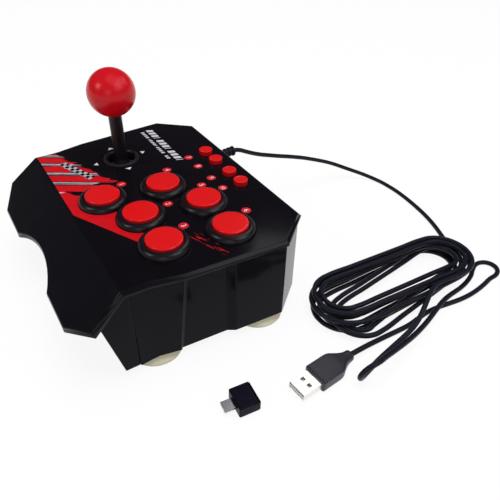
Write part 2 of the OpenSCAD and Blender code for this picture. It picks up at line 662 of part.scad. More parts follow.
module shaft_sleeve() color("#151418") at_stick(0) rotate_extrude() polygon([
    [shaft_bore_r, pivot_z + dome_r], [flare_r, pivot_z + dome_r],
    [flare_r * 0.86, pivot_z + dome_r + flare_h * 0.25],
    [sleeve_r + (flare_r - sleeve_r) * 0.2, pivot_z + dome_r + flare_h * 0.6],
    [sleeve_r, pivot_z + dome_r + flare_h], [sleeve_r, ball_low_z], [shaft_bore_r, ball_low_z]]);

// Domed dust cover centred on the pivot, so it slides under the collar as the lever tilts
dome_rim_a = asin(dome_rim_r / dome_r);
module dust_cover() color("#0f0e12") at_stick(pivot_z) difference() {
    union() {
        rotate_extrude() polygon(concat(
            [for (i = [0:dome_steps]) let (a = dome_hole_a + (dome_rim_a - dome_hole_a) * i / dome_steps)
                [dome_r * sin(a), dome_r * cos(a)]],
            [for (i = [dome_steps:-1:0]) let (a = dome_hole_a + (dome_rim_a - dome_hole_a) * i / dome_steps)
                [(dome_r - dome_t) * sin(a), (dome_r - dome_t) * cos(a)]]));
        translate([0, 0, hub_up]) cylinder(r = dome_hub_r, h = dome_r - hub_up - dome_t / 2);
        translate([0, 0, dome_r - dome_t]) cylinder(r = dome_r * sin(dome_seat_a), h = dome_t);
    }
    cylinder(r = shaft_bore_r, h = 2 * dome_r);
}

module stick_collar() color("#1c1b20") at_stick(top_h) rotate_extrude() polygon([
    [collar_in_r, -cover_t], [spigot_r, -cover_t], [spigot_r, 0], [collar_r, 0],
    [collar_r - collar_h * 0.3, collar_h * 0.7], [collar_r - collar_h * 0.8, collar_h],
    [collar_in_r + collar_h * 0.5, collar_h], [collar_in_r, collar_h * 0.4]]);

module centred_box(half_x, half_y, z0, z1) translate([-half_x, -half_y, z0])
    cube([2 * half_x, 2 * half_y, z1 - z0]);

// Housing of the lever: flange, box with bearings, inner shelf for the switches, corner posts
module stick_housing() color("#2b2a30") at_stick(0) difference() {
    union() {
        centred_box(flange_x, flange_y, flange_top_z - flange_t, flange_top_z);
        centred_box(box_half, box_half, box_low_z, flange_top_z - flange_t + over);
    }
    difference() {
        centred_box(box_in, box_in, box_low_z + shelf_t, flange_top_z - flange_t - over);
        for (x = [-gate_screw_xy, gate_screw_xy]) for (y = [-gate_screw_xy, gate_screw_xy])
            translate([x, y, 0]) centred_box(corner_post / 2, corner_post / 2, box_low_z,
                box_low_z + gate_screw_l + shelf_t);
    }
    centred_box(shelf_half, shelf_half, box_low_z - over, box_low_z + shelf_t + over);
    translate([0, 0, flange_top_z - flange_t - 2 * over]) cylinder(r = flange_hole_r, h = flange_t + 4 * over);
    translate([-box_half - over, 0, pivot_z]) rotate([0, 90, 0])
        cylinder(r = ring_pin_r + fit, h = 2 * box_half + 2 * over);
    for (x = [-stick_screw_x, stick_screw_x]) for (y = [-stick_screw_y, stick_screw_y])
        translate([x, y, flange_top_z - flange_t - over])
            cylinder(r = stick_screw_r + slip, h = flange_t + 2 * over);
    for (x = [-gate_screw_xy, gate_screw_xy]) for (y = [-gate_screw_xy, gate_screw_xy])
        translate([x, y, box_low_z - over]) cylinder(r = gate_screw_r + fit, h = gate_screw_l - gate_t + air);
}

module stick_screws() color("silver")
    for (x = [-stick_screw_x, stick_screw_x]) for (y = [-stick_screw_y, stick_screw_y])
        screw(stick_x + x, stick_y + y, flange_top_z - flange_t, stick_screw_r, stick_screw_head_r,
            stick_screw_head_h, stick_screw_l);

// Ring that turns about X in the housing and carries the hub's pins along Y
module gimbal_ring() color("#e8e4d8") at_stick(pivot_z) difference() {
    union() {
        translate([0, 0, -ring_h / 2]) cylinder(r = ring_out_r, h = ring_h);
        translate([-box_half, 0, 0]) rotate([0, 90, 0]) cylinder(r = ring_pin_r, h = 2 * box_half);
    }
    translate([0, 0, -ring_h / 2 - over]) cylinder(r = ring_in_r, h = ring_h + 2 * over);
    translate([0, -ring_out_r - over, 0]) rotate([-90, 0, 0])
        cylinder(r = hub_pin_r + fit, h = 2 * ring_out_r + 2 * over);
}

module stick_hub() color("#8f1d1f") at_stick(pivot_z) difference() {
    union() {
        translate([0, 0, -hub_down]) cylinder(r = hub_r, h = hub_down + hub_up);
        translate([0, -hub_pin_l, 0]) rotate([-90, 0, 0]) cylinder(r = hub_pin_r, h = 2 * hub_pin_l);
    }
    translate([0, 0, -hub_down - over]) cylinder(r = shaft_bore_r, h = hub_down + hub_up + 2 * over);
}

module stick_actuator() color("#e8e4d8") at_stick(actuator_low_z) difference() {
    cylinder(r = actuator_r, h = actuator_h);
    translate([0, 0, -over]) cylinder(r = shaft_bore_r, h = actuator_h + 2 * over);
}

module stick_spring() color("silver") at_stick(0) {
    low = actuator_low_z + actuator_h + spring_wire + fit;
    tube_along(helix(stick_spring_r, low, pivot_z - hub_down - spring_wire - fit - low, stick_spring_turns),
        spring_wire, 6);
}

module shaft_clip() color("dimgray") at_stick(actuator_low_z - groove_w + fit) difference() {
    cylinder(r = clip_r, h = clip_t);
    translate([0, 0, -over]) cylinder(r = groove_r + fit, h = clip_t + 2 * over);
    translate([-groove_r * 0.8, 0, -over]) cube([groove_r * 1.6, clip_r + over, clip_t + 2 * over]);
}

// Square gate that limits the shaft's foot
module gate_plate() color("#e8e4d8") at_stick(0) difference() {
    centred_box(box_half, box_half, gate_low_z, gate_low_z + gate_t);
    centred_box(gate_half, gate_half, gate_low_z - over, gate_low_z + gate_t + over);
    for (x = [-gate_screw_xy, gate_screw_xy]) for (y = [-gate_screw_xy, gate_screw_xy])
        translate([x, y, gate_low_z - over]) cylinder(r = gate_screw_r + slip, h = gate_t + 2 * over);
}

module gate_screws() color("silver")
    for (x = [-gate_screw_xy, gate_screw_xy]) for (y = [-gate_screw_xy, gate_screw_xy])
        screw(stick_x + x, stick_y + y, gate_low_z, gate_screw_r, gate_screw_head_r, gate_screw_head_h,
            gate_screw_l);

// Four switches round the lever's actuator, each with its button inward
module stick_switches() color("#26262b") for (a = [0, 90, 180, 270])
    at_stick(box_low_z + shelf_t) rotate([0, 0, a]) difference() {
        translate([box_in - air - switch_d, -switch_w / 2, 0]) cube([switch_d, switch_w, switch_h]);
        for (y = [-switch_w / 3, switch_w / 3]) translate([box_in - air - switch_d - over, y, switch_h / 2])
            rotate([0, 90, 0]) cylinder(r = switch_pin_r, h = switch_d + 2 * over);
    }

// Rim and barrel of a large button, snapped into the cover, with its crest close to the cap
module button_rim(i) color("#1d1c22") translate([button_places[i][0], button_places[i][1], top_h])
    rotate_extrude() {
        bore = cap_r + slip;
        wide = cap_r + cap_lip + slip;
        crest_r = bore + rim_crest_share * (rim_r - bore);
        polygon(concat(
            [for (k = [0:rim_steps]) let (a = 90 * k / rim_steps)
                [crest_r + (rim_r - crest_r) * cos(a), rim_h * sin(a)]],
            [[bore + (crest_r - bore) * 0.35, rim_h * 0.94], [bore, rim_h * 0.8],
            [bore, -cap_skirt + air / 2], [wide, -cap_skirt + air / 2],
            [wide, -barrel_h + barrel_floor], [cap_stem_r + slip, -barrel_h + barrel_floor],
            [cap_stem_r + slip, -barrel_h], [barrel_r, -barrel_h], [barrel_r, 0]]));
    }

// Cap of a large button: top, skirt with a lip that holds it in, and a stem to the switch
module button_cap(i) color("#d31217") translate([button_places[i][0], button_places[i][1], top_h])
    rotate_extrude() polygon([
        [0, cap_rise], [cap_r - cap_round, cap_rise], [cap_r - cap_round * 0.35, cap_rise - cap_round * 0.3],
        [cap_r, cap_rise - cap_round], [cap_r, -cap_skirt], [cap_r + cap_lip, -cap_skirt],
        [cap_r + cap_lip, -cap_skirt - cap_lip_h], [cap_r - cap_wall, -cap_skirt - cap_lip_h],
        [cap_r - cap_wall, cap_rise - cap_top_t], [cap_stem_r, cap_rise - cap_top_t],
        [cap_stem_r, -cap_stem_low], [0, -cap_stem_low]]);

module button_spring(i) color("silver") translate([button_places[i][0], button_places[i][1], top_h]) {
    low = -barrel_h + barrel_floor + button_wire + fit;
    tube_along(helix(button_spring_r, low, cap_rise - cap_top_t - button_wire - fit - low, button_spring_turns),
        button_wire, 6);
}

module tact_switch(p, z, h) translate([p[0], p[1], z]) {
    translate([-tact_w / 2, -tact_w / 2, 0]) cube([tact_w, tact_w, h]);
    translate([0, 0, h]) cylinder(r = tact_pin_r, h = tact_pin_h);
}
module button_switches() color("#26262b") for (p = button_places) tact_switch(p, board_top_z, tact_h);
module key_switches() color("#26262b") for (p = key_places)
    tact_switch(p, key_board_top_z, key_tact_h - tact_pin_h);

module main_board() color("#1f5d36") difference() {
    translate([board_low_x, board_low_y, board_top_z - board_t])
        cube([board_high_x - board_low_x, board_high_y - board_low_y, board_t]);
    for (p = board_posts) translate([p[0], p[1], board_top_z - board_t - over])
        cylinder(r = board_screw_r + slip, h = board_t + 2 * over);
}

module control_chip() color("#101014")
    translate([chip_x_share * half_w, chip_y_share * half_d, board_top_z - board_t - chip_h])
    cube([chip_w, chip_w, chip_h]);

module board_screws() color("silver") {
    for (p = board_posts) screw(p[0], p[1], board_top_z - board_t, board_screw_r, board_screw_head_r,
        board_screw_head_h, board_screw_l);
    for (p = key_posts) screw(p[0], p[1], key_board_top_z - board_t, board_screw_r, board_screw_head_r,
        board_screw_head_h, board_screw_l);
}

module key_board() color("#1f5d36") difference() {
    translate([key_board_low_x, key_board_low_y, key_board_top_z - board_t])
        cube([key_board_high_x - key_board_low_x, key_board_high_y - key_board_low_y, board_t]);
    for (p = key_posts) translate([p[0], p[1], key_board_top_z - board_t - over])
        cylinder(r = board_screw_r + slip, h = board_t + 2 * over);
}

// Small key: dished top, flange under the cover, and a stem that reaches its switch
module key_cap(i) color("#d31217") translate([key_places[i][0], key_places[i][1], 0]) rotate_extrude() polygon([
    [0, top_h + key_rise - key_dish], [key_r - key_edge, top_h + key_rise - key_dish],
    [key_r - key_edge * 0.6, top_h + key_rise], [key_r - key_edge * 0.2, top_h + key_rise],
    [key_r, top_h + key_rise - key_edge * 0.3], [key_r, cover_low - slip],
    [key_flange_r, cover_low - slip], [key_flange_r, cover_low - slip - key_flange_t],
    [key_stem_r, cover_low - slip - key_flange_t],
    [key_stem_r, key_board_top_z + key_tact_h + key_travel + fit],
    [0, key_board_top_z + key_tact_h + key_travel + fit]]);

// Leads inside: the cable's own end, the lever's switches and the keys, each to the main board
module inner_leads() color("#2a2a2e") {
    tube_along(inner_cable_points, inner_d / 2, 8);
    tube_along(inner_stick_points, inner_d / 2, 8);
    tube_along(inner_key_points, inner_d / 2, 8);
}

// Strain relief: flange inside the wall, neck, and a boot whose ribs grow toward the cable
module strain_relief() color("#141317") translate([relief_x, back_wall_y, relief_z]) rotate([-90, 0, 0]) {
    translate([0, 0, -wall_t - relief_flange_t - fit]) cylinder(r = relief_flange_r, h = relief_flange_t);
    translate([0, 0, -wall_t - relief_flange_t / 2])
        cylinder(r = relief_r, h = wall_t + relief_flange_t / 2 + wall_inset + relief_l);
    for (k = [1:relief_ribs]) translate([0, 0, wall_inset + relief_l * (k - 0.5) / relief_ribs])
        cylinder(r = relief_r + (relief_rib_r - relief_r) * k / relief_ribs, h = relief_l / relief_ribs / 2);
}

module cord_lead() color("#1b1b22") tube_along(lead_points, cord_d / 2, 8);
module cord_tail() color("#1b1b22") tube_along(tail_points, cord_d / 2, 8);
module cord_hank() color("#1b1b22") difference() {
    tube_along(hank_points, cord_d / 2, 6);
    translate([0, 0, -cord_d]) cube([body_w, 2 * body_d, cord_d + cord_d / 10]);
}

module at_plug() translate([plug_x, plug_y, plug_z]) rotate([0, 0, plug_turn]) children();

// Plug body: flat grip that narrows to the cable in a hollow curve
module usb_plug_body() color("#202026") at_plug() {
    wide = [for (s = plug_profile_shares) [s[0] * plug_w / 2, s[1] * plug_l]];
    intersection() {
        translate([0, 0, -plug_h / 2]) linear_extrude(plug_h) difference() {
            polygon(concat(wide, backwards([for (p = wide) [-p[0], p[1]]])));
            translate([-usb_w / 2 - fit, -over]) square([usb_w + 2 * fit, usb_wall + over]);
        }
        rotate([0, -90, 0]) translate([0, 0, -plug_w]) linear_extrude(2 * plug_w) polygon([
            [-plug_h / 2, 0], [-plug_h / 2, plug_l * 0.6], [-plug_neck_w / 2, plug_l * 0.8],
            [-plug_neck_w / 2, plug_l], [plug_neck_w / 2, plug_l], [plug_neck_w / 2, plug_l * 0.8],
            [plug_h / 2, plug_l * 0.6], [plug_h / 2, 0]]);
    }
}

// Metal shell with its two windows and the space for the contacts
module usb_plug_shell() color("#d9d9dc") at_plug() difference() {
    translate([-usb_w / 2, -usb_l, -usb_h / 2]) cube([usb_w, usb_l + usb_wall, usb_h]);
    translate([-usb_w / 2 + usb_wall, -usb_l - over, -usb_h / 2 + usb_wall])
        cube([usb_w - 2 * usb_wall, usb_l, usb_h - 2 * usb_wall]);
    for (x = [-usb_window_gap / 2, usb_window_gap / 2])
        translate([x - usb_window / 2, -usb_window_in, usb_h / 2 - usb_wall - over])
            cube([usb_window, usb_window, usb_wall + 2 * over]);
}

module usb_plug_tongue() color("white") at_plug()
    translate([-usb_w / 2 + usb_wall + fit, -usb_l + air, -usb_h / 2 + usb_wall + fit])
    cube([usb_w - 2 * usb_wall - 2 * fit, usb_l - 2 * air - over, usb_tongue_h]);

module at_adapter() translate([adapter_x, adapter_y, 0]) rotate([0, 0, adapter_turn]) children();

// Adapter body with its socket toward the back and its small plug toward the front
module adapter_body() color("#1c1c24") at_adapter() difference() {
    translate([-adapter_w / 2, 0, 0]) rotate([90, 0, 90]) linear_extrude(adapter_w) polygon([
        [-adapter_l / 2, 0], [adapter_l / 2, 0], [adapter_l / 2, adapter_h - adapter_round],
        [adapter_l / 2 - adapter_round, adapter_h], [-adapter_l / 2, adapter_h]]);
    translate([-adapter_socket_w / 2, adapter_l / 2 - adapter_socket_l, (adapter_h - adapter_socket_h) / 2])
        cube([adapter_socket_w, adapter_socket_l + over, adapter_socket_h]);
}

module adapter_plug() color("#b9bac0") at_adapter()
    translate([0, -adapter_l / 2, adapter_h / 2]) rotate([90, 0, 0]) linear_extrude(micro_l) difference() {
        polygon([[-micro_w / 2 + micro_chamfer, -micro_h / 2], [micro_w / 2 - micro_chamfer, -micro_h / 2],
            [micro_w / 2, 0], [micro_w / 2, micro_h / 2], [-micro_w / 2, micro_h / 2], [-micro_w / 2, 0]]);
        translate([-micro_w / 2 + micro_chamfer, -micro_h / 10])
            square([micro_w - 2 * micro_chamfer, micro_h / 4]);
    }

top_cover();
base_tub();
case_screws();
foot_front_left();
foot_front_right();
foot_back_left();
foot_back_right();
ball_top();
stick_shaft();
shaft_sleeve();
dust_cover();
stick_collar();
stick_housing();
stick_screws();
gimbal_ring();
stick_hub();
stick_actuator();
stick_spring();
shaft_clip();
gate_plate();
gate_screws();
stick_switches();
button_rim(0);  // button_rim_1
button_rim(1);  // button_rim_2
button_rim(2);  // button_rim_3
button_rim(3);  // button_rim_4
button_rim(4);  // button_rim_5
button_rim(5);  // button_rim_6
button_cap(0);  // button_cap_1
button_cap(1);  // button_cap_2
button_cap(2);  // button_cap_3
button_cap(3);  // button_cap_4
button_cap(4);  // button_cap_5
button_cap(5);  // button_cap_6
button_spring(0);  // button_spring_1
button_spring(1);  // button_spring_2
button_spring(2);  // button_spring_3
button_spring(3);  // button_spring_4
button_spring(4);  // button_spring_5
button_spring(5);  // button_spring_6
button_switches();
main_board();
control_chip();
board_screws();
key_cap(0);  // key_cap_1
key_cap(1);  // key_cap_2
key_cap(2);  // key_cap_3
key_cap(3);  // key_cap_4
key_board();
key_switches();
inner_leads();
strain_relief();
cord_lead();
cord_hank();
cord_tail();
usb_plug_body();
usb_plug_shell();
usb_plug_tongue();
adapter_body();
adapter_plug();
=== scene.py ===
# %% [markdown]
# # An arcade fight stick, built piece by piece in Blender
# The stick is a black plastic console on suction feet, with a ball-top lever, six large
# buttons, four small keys and a long folded cable. Its solids come from the CAD frame, which
# also says where each piece sits and which body it moves with, so nothing here needs fitting.
# The frame could be dressed by changing its meshes, but then a piece could drift from its
# joint. So each seen piece is made anew over its solid, and hidden ones only get a finish.

# %% Load the frame
import math

import bmesh
import bpy
from mathutils import Matrix, Vector


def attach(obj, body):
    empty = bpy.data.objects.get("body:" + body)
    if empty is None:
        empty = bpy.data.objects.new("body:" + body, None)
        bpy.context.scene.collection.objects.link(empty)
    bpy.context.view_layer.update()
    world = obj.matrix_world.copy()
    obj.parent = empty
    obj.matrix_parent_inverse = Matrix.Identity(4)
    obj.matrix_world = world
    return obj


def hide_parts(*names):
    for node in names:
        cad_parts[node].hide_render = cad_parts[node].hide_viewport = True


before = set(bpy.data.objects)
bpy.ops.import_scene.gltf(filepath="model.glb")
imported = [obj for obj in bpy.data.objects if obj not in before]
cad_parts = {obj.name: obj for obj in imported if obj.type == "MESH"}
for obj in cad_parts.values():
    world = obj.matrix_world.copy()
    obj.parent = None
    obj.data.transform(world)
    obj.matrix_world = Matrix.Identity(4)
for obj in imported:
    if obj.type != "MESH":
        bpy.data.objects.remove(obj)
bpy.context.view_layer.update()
MM = 0.001
TOP, HALF_W, HALF_D = 61.7, 86.7, 71.5  # the panel's height and half the cover's sides, in mm

# %% [markdown]
# ## Camera
# The camera stands at the user's right, above the desk, and looks across the panel.
# It could be turned by Euler angles, but three axes written as a matrix say the same
# without an order of rotations to remember. The lens is a little wider than a normal one.

# %% Camera
def make_camera(place, across, up, back, lens, sensor=36):
    camera = bpy.data.objects.new("camera", bpy.data.cameras.new("camera"))
    bpy.context.scene.collection.objects.link(camera)
    turn = Matrix((across, up, back)).transposed().to_4x4()
    camera.matrix_world = Matrix.Translation(Vector(place) * MM) @ turn
    camera.data.lens = lens
    camera.data.sensor_width = sensor
    camera.data.clip_start = 0.01
    bpy.context.scene.camera = camera
    return camera


camera = make_camera(
    place=(259.8, -90.2, 233.3),
    across=(0.53734, 0.84317, 0.01845),
    up=(-0.53657, 0.32490, 0.77880),
    back=(0.65066, -0.42838, 0.62700),
    lens=37.07,
)
print("camera at", tuple(round(v, 3) for v in camera.location))

# %% [markdown]
# ## Route of the cable
# The cable is one piece of soft black lead, 2.85 metres long. It drops from the strain
# relief to the desk, is folded up in a hank of four layers, and ends in a plug after a long
# standing fold and a loose loop. It could be simulated, but a hank keeps its folds because
# somebody made them, so the route is a list of points for the free stretches and a rule for
# the hank. A curve with smooth handles runs through all of them.

# %% Free stretches of the cable, in millimetres
lead = [
    (-29.3, 83.5, 54.5), (-29.3, 85.2, 54.5), (-29.3, 89.2, 53.4), (-29.3, 94.2, 50.9),
    (-29.4, 100, 48), (-29.6, 108, 44.5), (-29.8, 116.5, 41.4), (-29.9, 125, 38.4),
    (-30, 133.5, 35.6), (-30, 142, 32.7), (-30, 150.5, 29.6), (-30, 159, 26.1),
    (-29.8, 167.5, 22.5), (-29.3, 176, 18.8), (-28, 184.4, 14.8), (-25.6, 192.4, 10.8),
    (-21.8, 200, 7.4), (-16.4, 206.8, 4.7), (-9.4, 212, 2.8), (-1.2, 215.2, 1.9),
    (7.8, 216.4, 1.6), (17, 216.5, 1.6), (26.2, 215.7, 1.6), (35.4, 214.4, 1.6),
    (44.5, 212.7, 1.6), (53.5, 210.6, 1.6), (62.3, 207.9, 1.6), (70.9, 204.6, 1.6),
    (79.2, 200.9, 1.6), (87.4, 197.4, 1.6), (96, 194.4, 1.6), (104.2, 191.2, 1.6),
    (111, 186.6, 1.6), (115.6, 180.6, 1.6),
]
tail = [
    (122.9, 141.6, 13.9), (124.7, 135.6, 13.8), (127.6, 129.8, 13.2), (130.6, 124.2, 12),
    (133.3, 118.9, 10.2), (135.5, 113.6, 8.1), (137, 107.8, 5.9), (137.9, 100.8, 3.7),
    (138.9, 92.4, 2.1), (140.4, 83.6, 1.6), (142.2, 75.2, 1.6), (144, 68.4, 1.6),
    (145.3, 63.2, 1.7), (146.6, 59.3, 3), (147.7, 56.9, 6.2), (148.6, 56.9, 10.3),
    (149.4, 59.3, 13.6), (149.8, 63.2, 14.9), (149.6, 68, 14.7), (148.5, 73, 13.7),
    (146.9, 81.8, 11.9), (144.9, 92.1, 9.8), (142.6, 102.6, 7.9), (139.8, 113, 6.4),
    (136.6, 123.4, 5.5), (133.2, 133.5, 5.3), (130.4, 142.6, 5.3), (128.6, 150.8, 4.6),
    (127.2, 158.8, 3.2), (125.8, 166.4, 1.9), (123.9, 174.8, 1.6), (121.2, 182.4, 1.6),
    (117.6, 188.8, 1.6), (115.2, 195.2, 1.6), (115.7, 200, 1.6), (118.6, 203.8, 1.6),
    (123.1, 204.9, 1.6), (127.3, 202.7, 1.6), (129.6, 198.2, 1.6), (130.2, 191, 1.6),
    (131.8, 182.4, 1.6), (133, 173.6, 1.6), (133.4, 164.4, 1.6), (132.8, 155.4, 1.6),
    (131.6, 147.4, 1.6), (130.4, 139.2, 1.6), (129.9, 130.2, 1.6), (130.7, 121, 1.6),
    (131.6, 112.4, 1.6), (131.5, 104, 1.6), (131, 95.4, 1.6), (130.9, 86.6, 2.1),
    (131.3, 77.8, 3.3), (131.6, 70.6, 3.9), (131.7, 64.4, 4),
]
print("points of lead and tail", len(lead), len(tail))


# %% The hank: eight long turns in four layers, each layer laid a little askew
def smooth(x):
    x = max(0.0, min(1.0, x))
    return x * x * (3 - 2 * x)


# Two turns to a layer: the strand climbs to the next one after turns 2, 4 and 6
def climbed(turns, start, end):
    return sum(smooth((turns - k - start) / (end - start)) for k in (2, 4, 6))


def between(values, s):
    i = min(int(s), len(values) - 1)
    j = min(i + 1, len(values) - 1)
    return Vector(values[i]) * (1 - s + i) + Vector(values[j]) * (s - i)


# Long turn: two straight runs joined by half circles, each a third of a turn
def oval(f, r, run=41):
    if f < 1 / 6:
        return r, run * (1 - 12 * f)
    if f < 1 / 2:
        a = math.radians(-540 * (f - 1 / 6))
        return r * math.cos(a), r * math.sin(a) - run
    if f < 2 / 3:
        return -r, run * (12 * (f - 1 / 2) - 1)
    a = math.radians(180 - 540 * (f - 2 / 3))
    return r * math.cos(a), r * math.sin(a) + run


HANK_TURNS, HANK_STEPS = 8, 24
HANK_LAYERS = [(98, 128, 1), (107, 130, 7), (100, 126, -2), (101, 127, -4)]  # x, y, degrees
CORD_D, STRAND_PITCH, LAYER_RISE, INNER_RADIUS = 3.2, 4.2, 4.1, 12


def hank_place(turns):
    x0, y0, angle = between(HANK_LAYERS, climbed(turns, -0.19, 0.28))
    w = turns % 4
    x, y = oval(turns % 1, INNER_RADIUS + STRAND_PITCH * (2 - min(w, 4 - w)))
    c, s = math.cos(math.radians(angle)), math.sin(math.radians(angle))
    z = CORD_D / 2 + LAYER_RISE * climbed(turns, -0.27, 0.08)
    return x0 + x * c - y * s, y0 + x * s + y * c, z


hank = [hank_place(i / HANK_STEPS) for i in range(HANK_TURNS * HANK_STEPS + 2)]
print("hank from", hank[0], "to", hank[-1])


# %% The cable as one curve
def make_cord(name, points, diameter):
    curve = bpy.data.curves.new(name, "CURVE")
    curve.dimensions = "3D"
    curve.bevel_depth = diameter / 2
    curve.bevel_resolution = 4
    curve.resolution_u = 5
    curve.use_fill_caps = True
    spline = curve.splines.new("BEZIER")
    spline.bezier_points.add(len(points) - 1)
    for knot, point in zip(spline.bezier_points, points):
        knot.co = Vector(point) * MM
        knot.handle_left_type = knot.handle_right_type = "AUTO"
    cord = bpy.data.objects.new(name, curve)
    bpy.context.scene.collection.objects.link(cord)
    return cord


cord_points = lead + hank + tail
cord = make_cord("cable", cord_points, CORD_D * MM)
cord_length = sum(math.dist(a, b) for a, b in zip(cord_points, cord_points[1:]))
print("cable of", len(cord_points), "points, about", round(cord_length), "mm")

# %% [markdown]
# ## A way to write finishes
# A finish is a small graph of nodes. Placing each node by hand hides the idea in wiring, so
# two small classes do it: `Value` stands for one socket and turns arithmetic on it into Math
# nodes, and `Finish` is the material, with one method that adds any other node. Uniform
# numbers, such as the specular level, are set on the shader's own socket.

# %% Value: a socket that can be calculated with
class Value:
    def __init__(self, finish, socket):
        self.finish, self.socket = finish, socket

    def math(self, operation, first, second=None):
        sockets = {0: first} if second is None else {0: first, 1: second}
        return self.finish.node("ShaderNodeMath", {"operation": operation}, sockets)

    def __add__(self, other): return self.math("ADD", self, other)
    def __radd__(self, other): return self.math("ADD", other, self)
    def __sub__(self, other): return self.math("SUBTRACT", self, other)
    def __rsub__(self, other): return self.math("SUBTRACT", other, self)
    def __mul__(self, other): return self.math("MULTIPLY", self, other)
    def __rmul__(self, other): return self.math("MULTIPLY", other, self)
    def __truediv__(self, other): return self.math("DIVIDE", self, other)
    def __mod__(self, other): return self.math("FLOORED_MODULO", self, other)
    def __gt__(self, other): return self.math("GREATER_THAN", self, other)
    def __lt__(self, other): return self.math("LESS_THAN", self, other)
    def __and__(self, other): return self.math("MINIMUM", self, other)
    def __or__(self, other): return self.math("MAXIMUM", self, other)
    def __abs__(self): return self.math("ABSOLUTE", self)
    def __floor__(self): return self.math("FLOOR", self)


print("Value knows", sum(callable(member) for member in vars(Value).values()), "operations")


# %% Finish: a material, and the one method that adds a node to it
class Finish:
    def __init__(self, owner):
        owner.use_nodes = True
        self.owner, self.tree = owner, owner.node_tree
        self.tree.nodes.clear()

    def node(self, kind, settings={}, sockets={}, output=0):
        node = self.tree.nodes.new(kind)
        for name, value in settings.items():
            if name == "stops":
                ramp = node.color_ramp.elements
                while len(ramp) < len(value):
                    ramp.new(0.5)
                for stop, (place, colour) in zip(ramp, value):
                    stop.position, stop.color = place, colour
            else:
                setattr(node, name, value)
        for name, value in sockets.items():
            if isinstance(value, Value):
                self.tree.links.new(value.socket, node.inputs[name])
            else:
                node.inputs[name].default_value = value
        return Value(self, node.outputs[output]) if node.outputs else None

    def place(self):
        return self.node("ShaderNodeTexCoord", output=3)

    def xyz(self):
        place = self.place()
        split = [self.node("ShaderNodeSeparateXYZ", {}, {0: place}, i) for i in range(3)]
        return [value * 1000 for value in split]

    def noise(self, size, detail=3, stretch=(1, 1, 1)):
        place = self.node("ShaderNodeMapping", {}, {"Vector": self.place(), "Scale": stretch})
        sockets = {"Vector": place, "Scale": 1 / (size * MM), "Detail": detail}
        return self.node("ShaderNodeTexNoise", {}, sockets)

    def mix(self, mask, first, second):
        settings = {"data_type": "RGBA", "clamp_factor": True}
        return self.node("ShaderNodeMix", settings, {0: mask, 6: first, 7: second}, 2)

    def bump(self, height, depth):
        return self.node("ShaderNodeBump", {}, {"Height": height, "Distance": depth * MM})

    def shade(self, sockets):
        surface = self.node("ShaderNodeBsdfPrincipled", {}, sockets)
        self.node("ShaderNodeOutputMaterial", {}, {"Surface": surface})
        return self.owner


def new_finish(name):
    return Finish(bpy.data.materials.new(name))


print("Finish knows", sum(callable(member) for member in vars(Finish).values()), "methods")


# %% Colours as they are seen, turned into linear light
def rgb(r, g, b):
    lin = [c / 255 / 12.92 if c < 10.3 else ((c / 255 + 0.055) / 1.055) ** 2.4 for c in (r, g, b)]
    return (*lin, 1.0)


print("one grey in linear light", [round(v, 3) for v in rgb(128, 128, 128)])

# %% [markdown]
# ## Moulded plastic
# Most pieces are injection moulded. Such plastic is one colour all through; what the eye
# reads is the tool's skin: a faint unevenness of gloss, and on the tub a fine spark-eroded
# grain. A picture texture could show it, but noise at the true size never repeats, so each
# plastic gets a cloudy noise for its tone and gloss and a finer one for its skin.

# %% Plastic finishes
def plastic(name, colour, rough, skin=0.35, depth=0.012, level=0.5, spread=0.12):
    finish = new_finish(name)
    cloud = finish.noise(9, 4)
    grain = finish.noise(skin, 2)
    dark = [c * (1 - spread) for c in colour[:3]] + [1.0]
    light = [min(1.0, c * (1 + spread)) for c in colour[:3]] + [1.0]
    return finish.shade({
        "Base Color": finish.mix(cloud, dark, light),
        "Roughness": rough * 0.85 + cloud * (rough * 0.3),
        "Normal": finish.bump(grain, depth),
        "Specular IOR Level": level,
    })


tub_black = plastic("tub_black", rgb(19, 18, 23), 0.1, 0.6, 0.004, 0.06)
trim_black = plastic("trim_black", rgb(18, 16, 22), 0.3, 0.5, 0.004, 0.36)
sleeve_black = plastic("sleeve_black", rgb(15, 13, 18), 0.36, 0.5, 0.01, 0.32)
dome_black = plastic("dome_black", rgb(60, 54, 62), 0.5, 0.5, 0.01, 0.5)
collar_black = plastic("collar_black", rgb(32, 27, 33), 0.4, 0.5, 0.01, 0.3)
button_red = plastic("button_red", rgb(218, 18, 22), 0.2, 0.7, 0.004, 0.32, spread=0.04)
ball_red = plastic("ball_red", rgb(205, 13, 27), 0.24, 3.0, 0.006, 0.24, spread=0.05)
ivory = plastic("ivory", rgb(226, 221, 206), 0.45, 0.5, 0.01)
hub_red = plastic("hub_red", rgb(140, 32, 34), 0.42, 0.5, 0.01)
switch_black = plastic("switch_black", rgb(38, 38, 42), 0.5, 0.4, 0.02)
plug_black = plastic("plug_black", rgb(34, 33, 43), 0.4, 0.45, 0.03, 0.5)
cord_black = plastic("cord_black", rgb(24, 25, 36), 0.4, 0.8, 0.02, 0.15)
tongue_white = plastic("tongue_white", rgb(225, 224, 220), 0.4, 0.5, 0.006)
adapter_black = plastic("adapter_black", rgb(15, 14, 27), 0.34, 0.45, 0.01, 0.06)
print("plastics", len(bpy.data.materials))

# %% [markdown]
# ## Metal, circuit board and the clear feet
# Screws, springs and the plug's shell are plated steel: metallic, with a gloss that varies
# along faint drawing lines. The boards are green lacquer over copper tracks, drawn as steps
# of a stretched noise. The feet are soft vinyl that lets light through, so they need
# transmission and a yellowish tint, and a little roughness because they are never clean.

